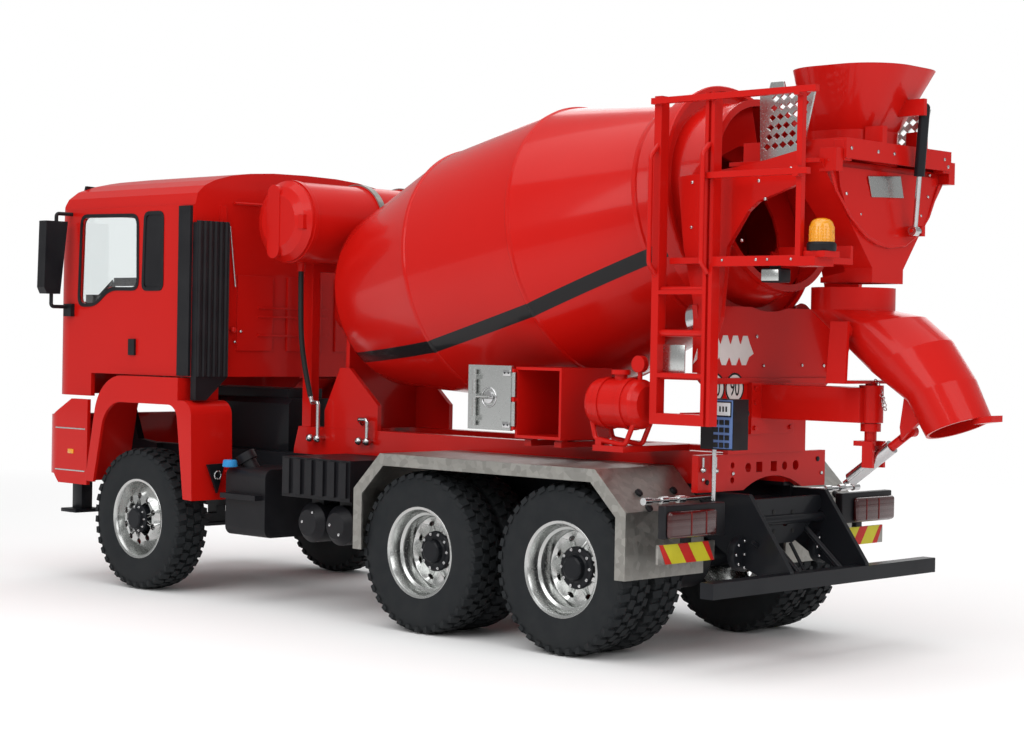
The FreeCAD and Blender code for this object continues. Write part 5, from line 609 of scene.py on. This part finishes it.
def grown(outline, by):  # an outline in two coordinates, moved outwards by a distance
    turn = sum(a[0] * b[1] - b[0] * a[1] for a, b in zip(outline, outline[1:] + outline[:1]))
    sign = 1 if turn > 0 else -1
    made = []
    for before, here, after in zip(outline[-1:] + outline[:-1], outline, outline[1:] + outline[:1]):
        first = (Vector(here) - Vector(before)).normalized()
        second = (Vector(after) - Vector(here)).normalized()
        one = Vector((first.y, -first.x)) * sign
        two = Vector((second.y, -second.x)) * sign
        both = (one + two).normalized()
        made.append(tuple(Vector(here) + both * by / max(both.dot(one), 0.4)))
    return made


def softened(outline, radius, steps=4):  # an outline in two coordinates with its corners rounded
    made = []
    for before, here, after in zip(outline[-1:] + outline[:-1], outline, outline[1:] + outline[:1]):
        back = Vector(before) - Vector(here)
        on = Vector(after) - Vector(here)
        reach = min(radius, back.length * 0.45, on.length * 0.45)
        start, end = Vector(here) + back.normalized() * reach, Vector(here) + on.normalized() * reach
        for k in range(steps + 1):
            t = k / steps
            made.append(tuple(start * (1 - t) ** 2 + Vector(here) * 2 * t * (1 - t) + end * t * t))
    return made


def strips(bm, lines, width, thickness, way):  # flat strips along lines on a face that looks along way
    way = Vector(way)
    for start, end in lines:
        start, end = at(*start), at(*end)
        along = end - start
        across = way.cross(along).normalized() * width / 2 * mm
        slab(bm, [start + across, end + across, end - across, start - across], way * thickness * mm)


flatFinishes = {  # colour, darker tone and roughness
    "whiteVinyl": ((0.72, 0.72, 0.70), (0.62, 0.62, 0.60), 0.45),
    "inkBlack": ((0.01, 0.01, 0.01), (0.02, 0.02, 0.02), 0.5),
    "yellowFilm": ((0.62, 0.56, 0.03), (0.52, 0.46, 0.02), 0.35),
    "redFilm": ((0.55, 0.02, 0.015), (0.46, 0.015, 0.01), 0.35),
    "blueFilm": ((0.12, 0.20, 0.42), (0.09, 0.15, 0.34), 0.4),
    "bluePlastic": ((0.03, 0.28, 0.60), (0.025, 0.22, 0.5), 0.35),
    "displayWhite": ((0.66, 0.70, 0.72), (0.58, 0.62, 0.64), 0.3),
    "darkRed": ((0.16, 0.012, 0.01), (0.11, 0.01, 0.01), 0.45)}
for name, (colour, dark, roughness) in flatFinishes.items():
    finishes[name] = plastic(name, colour, dark, roughness, 0.7, 0.03)


# ---- cab

# the windows of the door and behind it, each with the radius of its corners
cabLook = {"side": 88.5, "seal": 2.2, "rearFace": 51.2, "sillWidth": 5.2,
           "windows": (([(-63.2, 229.5), (-6.5, 228.5), (-5.6, 185.4), (-34.3, 185.6), (-49.5, 175.4),
                         (-65.3, 175.3)], 5), ([(3.1, 229.5), (18.6, 229.5), (18.9, 185.3), (1.6, 185.3)], 3)),
           "wipers": ((-52, 34), (-6, 34), (40, 32))}  # foot and reach of each


def windowSeals(bm):
    for side in (-1, 1):
        x = side * (cabLook["side"] - 1.0)
        for outline, bend in cabLook["windows"]:
            inner = softened(outline, bend)
            outer = softened(grown(outline, cabLook["seal"]), bend + 2)
            plates(bm, [[(x, y, z) for y, z in outer]], (side * 0.95, 0, 0), [[(x, y, z) for y, z in inner]])


def doorSills(bm):
    for side in (-1, 1):
        x = side * (cabLook["side"] - 4.3)
        lines = [((x, -48.0, 178.3), (x, -62.5, 178.3)), ((x, -33.0, 188.8), (x, -7.5, 188.8)),
                 ((x, -33.5, 188.0), (x, -48.5, 178.0))]
        strips(bm, lines, cabLook["sillWidth"], 0.6, (side, 0, 0))


def wipers(bm):
    for x, reach in cabLook["wipers"]:
        foot, knee = (x, -99.0, 156.5), (x + reach * 0.75, -98.2, 171.0)
        wires(bm, [(foot, knee)], 0.7)
        wires(bm, [((x + reach * 0.45, -98.4, 168.2), (x + reach * 1.05, -98.0, 175.2))], 0.8)
        balls(bm, [foot], 1.5)


def cabRearDotsAndHighlight(bm):
    y = cabLook["rearFace"]
    balls(bm, [(52.1, y, 159.2), (56.6, y, 152.8)], 0.9)
    # a bright steel wire painted as the white highlight on the edge of the rear wall's recess
    wires(bm, [((61.4, y, 222.7), (56.7, y, 186.3))], 0.5)


def cabRearRelief(bm):
    y = cabLook["rearFace"] + 0.2
    wires(bm, [((58.4, y, 237), (36.8, y, 237))], 0.9)
    strips(bm, [((-18, y - 1.2, z), (38, y - 1.2, z)) for z in (157.0, 168.6, 174.0)], 1.2, 0.9, (0, 1, 0))
    balls(bm, [(58.1, y + 0.1, 160.1)], 1.9)


def darkPanes(bm):  # the window behind each door is blanked
    for side in (-1, 1):
        x = side * (cabLook["side"] - 1.2)
        plates(bm, [[(x, y, z) for y, z in softened(*cabLook["windows"][1])]], (side * 0.7, 0, 0))


newPieces("black_plastic", darkPanes, windowSeals, wipers, body="cab")
newPieces("interior", doorSills, body="cab")
newPieces("bright_steel", cabRearDotsAndHighlight, body="cab")
newPieces("red_paint", cabRearRelief, body="cab")
print("cab details made")


# ---- front

# the first three entries place silver strips painted as highlights along the bumper's recess edges
front = {"side": 92.0, "highlightLevels": (96.0, 69.4), "highlightFrom": -84.0, "highlightTo": -52.0,
         "bracket": [(84.0, 79.6), (71.0, 80.0), (76.3, 62.1)], "bracketY": 60.0, "eye": (76.6, 62.0, 73.0),
         "filler": (82.0, 80.0, 79.2), "footPieces": (((65.8, -90.2, 43), (74.2, -79.8, 75.9)),
                                                      ((59.8, -94.2, 40.8), (80.2, -77.8, 43.2)))}


def bumperHighlightStrips(bm):  # silver strips painted as the highlights on the edges of the bumper's recessed panel
    for z in front["highlightLevels"]:
        for side in (-1, 1):
            x = side * front["side"]
            strips(bm, [((x, front["highlightFrom"], z), (x, front["highlightTo"], z))], 0.8, 0.15, (side, 0, 0))


def sideMarkers(bm):
    for side in (-1, 1):
        x = side * front["side"]
        block(bm, at(x - 0.4, -70, 80), at(x + 0.5, -64, 83), 0.3)


def cornerBrackets(bm):  # with an eye each, one on each side of the air tanks
    for side in (-1, 1):
        plates(bm, [[(side * x, front["bracketY"], z) for x, z in front["bracket"]]], (0, 1.6, 0))


def cornerEyes(bm):
    x, y, z = front["eye"]
    loops(bm, [(side * x, y, z) for side in (-1, 1)], (0, 1, 0), 2.4, 0.5)


def fillerCaps(bm):
    centre = at(*front["filler"])
    rod(bm, centre, centre + Vector((0, 0, 4.2 * mm)), 4.6, 4.0, sides=24, round=0.6)


def towFeet(bm):
    for low, high in front["footPieces"]:
        blockPair(bm, low, high, 0.4)


newPieces("silver", bumperHighlightStrips)
newPieces("lamp_amber", sideMarkers)
newPieces("black_chassis", cornerBrackets, towFeet)
newPieces("bright_steel", cornerEyes)
newPieces("bluePlastic", fillerCaps)
print("front details made")


# ---- rear panel, beam and boxes

rearFace = {"panel": 410.0, "crossplate": 408.2,
            "panelBolts": [(5.2, 146.4), (-28.3, 146.8), (11.3, 161.2), (-48.0, 146.6)],
            "plateBolts": [(26.2, 92.2), (50.5, 90.0), (-50.5, 90.0)], "caps": [(47.0, 88.5), (-47.0, 97.5)]}


def onFace(y, spots):  # places on a face that looks to the rear
    return [(x, y, z) for x, z in spots]


def panelBolts(bm):
    heads(bm, onFace(rearFace["panel"] + 0.2, rearFace["panelBolts"]), (0, 1, 0), 0.9, 0.7)
    heads(bm, onFace(rearFace["crossplate"], rearFace["plateBolts"]), (0, 1, 0), 1.0, 0.8)


def crossplateCaps(bm):
    heads(bm, onFace(rearFace["crossplate"], rearFace["caps"]), (0, 1, 0), 1.3, 0.7)


stickerLook = {"teeth": 5, "from": 17.0, "to": 58.0}


def sticker(bm):
    outline = [(62.5, 147.0), (58.5, 155.8)]
    step = (stickerLook["to"] - stickerLook["from"]) / stickerLook["teeth"]
    for k in range(stickerLook["teeth"]):
        x = stickerLook["to"] - k * step
        outline += [(x - 1.0, 157.0), (x - 2.8, 161.4), (x - step + 1.6, 161.4), (x - step - 0.2, 157.6)]
    outline += [(13.4, 152.4)]
    for k in range(stickerLook["teeth"]):
        x = stickerLook["from"] + k * step
        outline += [(x + 0.2, 150.6), (x + 2.6, 146.6), (x + step - 2.2, 146.6), (x + step - 0.2, 150.2)]
    plates(bm, [onFace(rearFace["panel"], outline)], (0, 0.15, 0))


discs = {"spots": [(28.6, 135.2), (44.4, 135.2)], "radius": 7.6, "edge": 1.0, "figures": "90",
         "figureSize": 9.5}


def discEdge(y, x, z, radius):
    return circlePoints(at(x, y, z), (0, 1, 0), radius, 40)


def discFaces(bm):
    for spot in discs["spots"]:
        slab(bm, discEdge(rearFace["panel"], *spot, discs["radius"]), Vector((0, 0.15 * mm, 0)))


def discRims(bm):
    y = rearFace["panel"] + 0.1
    for spot in discs["spots"]:
        slab(bm, discEdge(y, *spot, discs["radius"]), Vector((0, 0.12 * mm, 0)),
             [discEdge(y, *spot, discs["radius"] - discs["edge"])])


def discFigures(bm):
    for x, z in discs["spots"]:
        curve = bpy.data.curves.new("figures", "FONT")
        curve.body = discs["figures"]
        curve.size = discs["figureSize"] * mm
        curve.align_x = "CENTER"
        curve.align_y = "CENTER"
        curve.extrude = 0.08 * mm
        holder = bpy.data.objects.new("figures", curve)
        mesh = bpy.data.meshes.new_from_object(holder)
        turned = Matrix.Rotation(math.pi, 4, "Z") @ Matrix.Rotation(math.pi / 2, 4, "X")
        place = Matrix.Translation(at(x, rearFace["panel"] + 0.25, z - 0.2)) @ turned
        mesh.transform(place @ Matrix.Diagonal((0.82, 1.25, 1, 1)))
        bm.from_mesh(mesh)
        bpy.data.objects.remove(holder)


# the cuts between red and yellow are shares of the board's width
hazard = {"inner": 52.0, "outer": 95.5, "low": 51.5, "high": 61.0, "front": 416.0, "rear": 417.6,
          "margin": 2.0, "lean": 7.0, "cuts": (0.0, 0.12, 0.40, 0.60, 0.88, 1.0)}


def hazardFields(bm, first):  # every second field, from the first one given
    start, end = hazard["inner"] + hazard["margin"], hazard["outer"] - hazard["margin"]
    lean, cuts = hazard["lean"] / 2, hazard["cuts"]
    for side in (-1, 1):
        for k in range(first, len(cuts) - 1, 2):
            a, b = (start + (end - start) * cut for cut in cuts[k:k + 2])
            corners = [(a - lean, hazard["low"]), (b - lean, hazard["low"]), (b + lean, hazard["high"]),
                       (a + lean, hazard["high"])]
            corners = [(side * min(max(x, start - 1.5), end + 1.5), z) for x, z in corners]
            plates(bm, [onFace(hazard["rear"], corners)], (0, 0.2, 0))


def hazardRed(bm):
    hazardFields(bm, 0)


def hazardYellow(bm):
    hazardFields(bm, 1)


def hazardBoards(bm):
    blockPair(bm, (hazard["inner"], hazard["front"], hazard["low"]),
              (hazard["outer"], hazard["rear"], hazard["high"]), 0.2)


tailLamp = {"lens": ((59.5, 422.0, 64.5), (96.0, 425.2, 77.3)), "dividers": (68.5, 80.0),
            "housing": ((50, 417.5, 64), (96.5, 422.4, 80)), "bracket": ((70, 414.5, 58), (76, 417.6, 76))}


def tailLenses(bm):
    blockPair(bm, *tailLamp["lens"], 1.8, 4)


def tailDividers(bm):
    for side in (-1, 1):
        for x in tailLamp["dividers"]:
            block(bm, at(x * side - 0.4, 424.6, 65.4), at(x * side + 0.4, 425.5, 76.4), 0.2)


def tailHousings(bm):
    blockPair(bm, *tailLamp["housing"], 0.8, 3)
    blockPair(bm, *tailLamp["bracket"], 0.8, 3)


tailPlate = {"face": 422.1, "discX": 34.3, "discZ": 53.4, "discFront": 418.0, "discRear": 422.2,
             "discRadius": 8.6, "bolts": 8, "boltCircle": 6.6,
             "holes": [(21.3, 67.9), (10, 73.1), (-6, 72.3), (-18.1, 67.9), (9.6, 63.2), (-6.3, 62.9)],
             "braces": [((37.9, 430, 60.3), (5.7, 432, 41.7)), ((-2, 424, 57), (-2, 434, 42))]}


def tailBolts(bm):
    for side in (-1, 1):
        middle = Vector((side * tailPlate["discX"], tailPlate["discRear"], tailPlate["discZ"]))
        spots = [middle]
        for k in range(tailPlate["bolts"]):
            turn = math.tau * k / tailPlate["bolts"]
            spots.append(middle + Vector((math.cos(turn), 0, math.sin(turn))) * tailPlate["boltCircle"])
        heads(bm, spots, (0, 1, 0), 0.75, 0.9)


def tailDiscs(bm):
    for side in (-1, 1):
        x, z = side * tailPlate["discX"], tailPlate["discZ"]
        rod(bm, at(x, tailPlate["discFront"], z), at(x, tailPlate["discRear"], z), tailPlate["discRadius"],
            sides=40, round=0.4)


def tailPlateHoles(bm):
    heads(bm, onFace(tailPlate["face"], tailPlate["holes"]), (0, 1, 0), 1.2, 0.4)


def tailBraces(bm):
    wires(bm, tailPlate["braces"], 0.9)


fender = {"screws": ((77.0, 389.5, 83.4), (50.0, 389.5, 83.4), (79.0, 397.8, 76.6)), "barY": 404.0,
          "sleeves": (60.0, 73.0, 86.0), "sleeveLength": 5.0}


def fenderScrews(bm):
    for side in (-1, 1):
        heads(bm, [(side * x, y, z) for x, y, z in fender["screws"]], (0, 0.8, 0.6), 2.1, 1.4)


def fenderBars(bm):
    y = fender["barY"]
    for side in (-1, 1):
        wires(bm, [((side * 90.0, y, 80.6), (side * 36.0, y, 80.9))], 1.2)
        for x in fender["sleeves"]:
            rod(bm, at(side * x, y, 80.7), at(side * (x + fender["sleeveLength"]), y, 80.7), 1.9, sides=16)


control = {"face": 55.2, "rows": 4, "columns": 3, "digits": 3, "keyPitch": (3.4, 3.7), "keyHalf": 1.15}


def controlStrip(bm):
    x = control["face"]
    block(bm, at(x - 0.1, 418.2, 106.2), at(x + 0.35, 429.6, 129.9), 0.1)


def controlDisplay(bm):
    x = control["face"]
    block(bm, at(x + 0.1, 419.2, 122.4), at(x + 1.0, 428.6, 128.6), 0.2)


def controlDigits(bm):
    x = control["face"]
    for k in range(control["digits"]):
        block(bm, at(x + 0.9, 422.0 + 1.9 * k, 124.2), at(x + 1.05, 423.0 + 1.9 * k, 126.8))


def controlKeys(bm):
    x, half = control["face"], control["keyHalf"]
    across, up = control["keyPitch"]
    for row in range(control["rows"]):
        for column in range(control["columns"]):
            y, z = 419.8 + across * column, 107.9 + up * row
            block(bm, at(x, y - half, z - half), at(x + 1.0, y + half, z + half), 0.35)


def controlKnob(bm):
    rod(bm, at(43.4, 425, 123.2), at(38.4, 425, 123.2), 2.6, 2.2, sides=24, round=0.4)


door = {"face": 77.6, "latch": (287.0, 127.0), "latchRing": 5.0, "latchRadius": 3.4, "hinges": (113.0, 140.0),
        "screwPlaces": (298.4, 301.0)}


def doorFittings(bm):
    x, (y, z) = door["face"], door["latch"]
    loops(bm, [(x, y, z)], (1, 0, 0), door["latchRing"], 0.5)
    rod(bm, at(x - 0.3, y, z), at(x + 0.8, y, z), door["latchRadius"], sides=28, round=0.3)
    wires(bm, [((x + 0.6, y - 4, z), (x + 0.6, y + 4, z))], 0.8)
    for hinge in door["hinges"]:
        block(bm, at(x - 0.2, 297.0, hinge - 1.6), at(x + 0.4, 302.4, hinge + 1.6), 0.3)


def doorScrews(bm):
    x = door["face"] + 0.3
    heads(bm, [(x, y, z) for y in door["screwPlaces"] for z in door["hinges"]], (1, 0, 0), 0.5, 0.4)


newPieces("bright_steel", panelBolts, tailBolts, fenderBars)
newPieces("black_plastic", crossplateCaps, tailHousings, fenderScrews, controlKnob)
newPieces("whiteVinyl", sticker, discFaces)
newPieces("inkBlack", discRims, controlDigits, controlKeys)
newPieces("inkBlack", discFigures, smooth=20)
newPieces("yellowFilm", hazardYellow)
newPieces("redFilm", hazardRed)
newPieces("galvanised", hazardBoards)
newPieces("lamp_red", tailLenses, replaces=("tail_lamps",))
newPieces("darkRed", tailDividers, slot="lamp_red")
newPieces("black_chassis", tailDiscs, tailBraces)
newPieces("inkBlack", tailPlateHoles, slot="black_chassis")
newPieces("blueFilm", controlStrip)
newPieces("displayWhite", controlDisplay)
newPieces("bright_steel", doorFittings, body="toolbox_door")
newPieces("black_plastic", doorScrews, body="toolbox_door")
print("rear details made")


# ---- top of the rear

collector = {"face": 480.2, "top": 245.0, "side": 59.0,
             "screws": [(45.2, 240.7), (36.7, 229.4), (24.4, 220.3), (9.5, 214.5), (-9.5, 214.5),
                        (-28.5, 222.4), (-34.3, 232.1), (-35.1, 243.0)],
             "cover": [(55.6, 243.7), (48.6, 229.2), (34.9, 217.0), (20.0, 208.8), (5.2, 205.2),
                       (-15.1, 206.1), (-28.0, 212.0), (-37.5, 220.9), (-47.5, 237.6)],
             "plaque": [(19.2, 238.7), (-8.7, 240.6), (-11.7, 230.2), (15.9, 229.0)],
             "sideBolts": [(455.6, 238.8), (464.0, 240.4), (445.4, 235.2), (449.3, 226.5), (435.9, 206.9),
                           (405.0, 236.0), (405.0, 214.0)]}


def collectorScrews(bm):  # the face leans forward a little towards the bottom
    spots = [(x, collector["face"] - (collector["top"] - z) * 0.02, z) for x, z in collector["screws"]]
    heads(bm, spots, (0, 1, 0), 0.8, 0.8)


def collectorBead(bm):  # raised edge of the inspection cover
    wires(bm, [onFace(collector["face"], [(x * 0.93, z + 1.0) for x, z in collector["cover"]])], 0.8)


def plaque(bm):
    plates(bm, [onFace(collector["face"], collector["plaque"])], (0, 0.5, 0))


def wingBolts(bm):
    for side in (-1, 1):
        x = side * collector["side"]
        heads(bm, [(x, y, z) for y, z in collector["sideBolts"]], (side, 0, 0), 0.8, 0.7)


hopperFlange = {"rear": 486.0, "bolts": [(19.5, 250.2), (5.7, 250.2), (-39.5, 250.8), (-42.9, 247.4),
                                         (42.0, 250.2)]}


def hopperBolts(bm):
    heads(bm, onFace(hopperFlange["rear"], hopperFlange["bolts"]), (0, 1, 0), 0.9, 0.6)


platform = {"side": 73.0, "boltLevel": 197.0, "boltPlaces": (454.9, 461.5, 435.0, 475.0)}


def platformBolts(bm):
    x, z = platform["side"], platform["boltLevel"]
    heads(bm, [(x, y, z) for y in platform["boltPlaces"]], (1, 0, 0), 0.7, 0.6)


beacon = {"foot": (65.0, 486.3, 200.8), "ribs": 20,
          "base": [(-2.0, 0), (-2.0, 4.0), (0, 4.0), (0, 6.6), (1.0, 6.9), (3.2, 6.9), (4.2, 6.2), (4.2, 0)],
          "lens": [(0, 0), (0, 5.8), (7.6, 5.6), (9.4, 5.0), (10.6, 3.8), (11.2, 2.0), (11.3, 0)],
          "lensRise": 4.0}


def beaconBase(bm):
    lathe(bm, beacon["base"], at(*beacon["foot"]), (0, 0, 1), 48, closed=False)


def beaconLens(bm):
    up = Vector((0, 0, mm))
    centre = at(*beacon["foot"]) + up * beacon["lensRise"]
    lathe(bm, beacon["lens"], centre, (0, 0, 1), 64, closed=False)
    for k in range(beacon["ribs"]):
        turn = math.tau * k / beacon["ribs"]
        out = Vector((math.cos(turn), math.sin(turn), 0)) * 5.55 * mm
        rod(bm, centre + out + up * 0.4, centre + out * 0.97 + up * 7.4, 0.42, sides=8)


def workLamp(bm):
    block(bm, at(63.0, 456.9, 186.3), at(71.8, 468.1, 193.1), 0.9, segments=3)
    block(bm, at(66.0, 460.5, 192.8), at(70.0, 464.5, 195.9), 0.3)


def workLampFace(bm):
    block(bm, at(71.6, 457.6, 187.0), at(72.4, 467.4, 192.4), 0.3)


chain = {"links": 9, "start": (474.6, 140.2), "run": (5.4, -13.2), "sag": 0.6, "link": 1.05, "wire": 0.28,
         "ways": ((0.1, 0.75, 0.35), (1, 0.2, 0))}  # the links lie crosswise in turn


def lockChain(bm):
    for k in range(chain["links"]):
        t = k / (chain["links"] - 1)
        y = chain["start"][0] + chain["run"][0] * t + chain["sag"] * math.sin(math.pi * t)
        z = chain["start"][1] + chain["run"][1] * t
        loops(bm, [(0.0, y, z)], chain["ways"][k % 2], chain["link"], chain["wire"], steps=14)


newPieces("lamp_amber", beaconLens, replaces=("lamps",))
newPieces("black_plastic", beaconBase, workLamp)
newPieces("bright_steel", collectorScrews, wingBolts, platformBolts)
newPieces("red_paint", collectorBead)
newPieces("silver", plaque, workLampFace)
newPieces("bright_steel", hopperBolts, body="hopper")
newPieces("bright_steel", lockChain, body="chute_arm")
print("upper details made")


# ---- side fittings

sideParts = {"pipeEnds": (51.8, 41.7), "pipeEndY": 409.4, "tankFace": 77.9,
             "tankHeads": ((149.5, 57.0), (140.7, 51.2), (164.3, 51.0), (172.0, 46.0)),
             "bands": (-3.0, -40.0), "bandProfile": [(-2.2, 23.4), (-2.2, 25.6), (2.2, 25.6), (2.2, 23.4)]}


def pipeBalls(bm):
    (one, two), y = sideParts["pipeEnds"], sideParts["pipeEndY"]
    balls(bm, [(one, y, 94.9), (two, y, 94.2)], 1.5)
    wires(bm, [((x, y, 95), (x, y, 101.0)) for x in (one, two)], 0.6)


def tankDots(bm):
    heads(bm, [(sideParts["tankFace"], y, z) for y, z in sideParts["tankHeads"]], (1, 0, 0), 0.9, 0.6)


def tankBands(bm):  # clamping bands round the water tank
    for x in sideParts["bands"]:
        lathe(bm, sideParts["bandProfile"], at(x, 94.0, 225.0), (1, 0, 0), 96)


def ladderReflector(bm):
    block(bm, at(67.4, 394.0, 142.4), at(68.4, 409.6, 156.4), 0.4)


newPieces("galvanised", tankBands)
newPieces("silver", ladderReflector)
newPieces("bright_steel", pipeBalls, tankDots)


hose = {"route": [(38.0, 90.0, 196.0), (38.0, 90.0, 168.0), (37.3, 92.4, 142.0), (36.3, 98.5, 121.0)],
        "radius": 1.6, "length": 75.9}


def makeHose():
    curve = bpy.data.curves.new("waterHose", "CURVE")
    curve.dimensions = "3D"
    curve.resolution_u = 24
    curve.bevel_depth = hose["radius"] * mm
    curve.bevel_resolution = 6
    curve.use_fill_caps = True
    spline = curve.splines.new("NURBS")
    spline.points.add(len(hose["route"]) - 1)
    for point, spot in zip(spline.points, hose["route"]):
        point.co = (*at(*spot), 1)
    spline.order_u = 3
    spline.use_endpoint_u = True
    curve.materials.append(finishes["rubber"])
    piece = bpy.data.objects.new("waterHose", curve)
    scene.collection.objects.link(piece)
    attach(piece, "chassis")
    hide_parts("water_hose")
    tuple(at(*hose["route"][0]))


makeHose()
print("hose and side details made")


# ---- floor, lights and camera

studio = {"floorRadius": 3.0, "whiteFrom": 0.55, "whiteTo": 1.3, "world": 0.45}  # the floor fades out to white
lights = {"topLight": {"place": (0.1, 0.0, 1.5), "aim": (0, 0, 0.1), "size": (1.6, 2.2), "power": 16},
          "keyLight": {"place": (1.3, 0.2, 0.9), "aim": (0, 0, 0.15), "size": (1.2, 0.8), "power": 9},
          "rearLight": {"place": (0.3, 1.5, 0.8), "aim": (0, 0.1, 0.15), "size": (1.2, 0.8), "power": 7},
          "fillLight": {"place": (-1.4, -0.6, 0.8), "aim": (0, 0, 0.1), "size": (1.4, 1.0), "power": 7}}
view = {"place": (863.2, 1044.5, 157.9), "yaw": 43.34, "pitch": 0.74, "roll": 1.03, "lens": 73.35}


def makeFloor():
    bm = bmesh.new()
    bmesh.ops.create_circle(bm, cap_ends=True, radius=studio["floorRadius"], segments=64)
    mesh = bpy.data.meshes.new("floor")
    bm.to_mesh(mesh)
    bm.free()
    floor = bpy.data.objects.new("floor", mesh)
    scene.collection.objects.link(floor)
    finish = Finish("paleFloor", BaseColor=(0.9, 0.9, 0.9), Roughness=0.9, Gloss=0.1)
    distance = finish.node("ShaderNodeVectorMath", {"operation": "LENGTH"}, {0: finish.place}, "Value")
    rays = [finish.node("ShaderNodeLightPath", {}, {}, ray) for ray in ("Is Camera Ray", "Is Glossy Ray")]
    seen = finish.maths("MAXIMUM", *rays)
    far = distance.shaped(studio["whiteFrom"], studio["whiteTo"], 0, 1)
    white = finish.node("ShaderNodeEmission", {}, {"Color": (1, 1, 1), "Strength": 1.0})
    blend = finish.node("ShaderNodeMixShader", {},
                        {0: far * seen, 1: Wire(finish, finish.surface.outputs[0]), 2: white})
    finish.plug(finish.tree.nodes["Material Output"].inputs["Surface"], blend)
    mesh.materials.append(finish.material)


def makeWorld():  # white to the camera and through the glass, dimmer as a light
    world = bpy.data.worlds.new("studio")
    scene.world = world
    world.use_nodes = True
    tree = world.node_tree
    rays = tree.nodes.new("ShaderNodeLightPath")
    seen = tree.nodes.new("ShaderNodeMath")
    seen.operation = "MAXIMUM"
    tree.links.new(rays.outputs["Is Camera Ray"], seen.inputs[0])
    tree.links.new(rays.outputs["Is Transmission Ray"], seen.inputs[1])
    strength = tree.nodes.new("ShaderNodeMapRange")
    strength.inputs["To Min"].default_value = studio["world"]
    strength.inputs["To Max"].default_value = 1.0
    tree.links.new(seen.outputs[0], strength.inputs["Value"])
    tree.nodes["Background"].inputs["Color"].default_value = (1, 1, 1, 1)
    tree.links.new(strength.outputs[0], tree.nodes["Background"].inputs["Strength"])


def softbox(name, look):
    light = bpy.data.lights.new(name, "AREA")
    light.shape = "RECTANGLE"
    light.size, light.size_y = look["size"]
    light.energy = look["power"]
    lamp = bpy.data.objects.new(name, light)
    lamp.location = look["place"]
    lamp.rotation_euler = (Vector(look["aim"]) - Vector(look["place"])).to_track_quat("-Z", "Y").to_euler()
    scene.collection.objects.link(lamp)


def makeCamera():
    yaw, pitch, roll = (math.radians(view[name]) for name in ("yaw", "pitch", "roll"))
    ahead = Vector((-math.cos(pitch) * math.cos(yaw), -math.cos(pitch) * math.sin(yaw), -math.sin(pitch)))
    right = ahead.cross(Vector((0, 0, 1))).normalized()
    up = right.cross(ahead)
    turned = Matrix.Rotation(roll, 3, -ahead)
    right, up = turned @ right, turned @ up
    camera = bpy.data.objects.new("camera", bpy.data.cameras.new("camera"))
    camera.data.lens = view["lens"]
    camera.data.sensor_width = 36
    camera.matrix_world = Matrix((right, up, -ahead)).transposed().to_4x4()
    camera.location = at(*view["place"])
    scene.collection.objects.link(camera)
    scene.camera = camera


makeFloor()
makeWorld()
for name, look in lights.items():
    softbox(name, look)
makeCamera()
scene.view_settings.view_transform = "Standard"
print("studio ready")
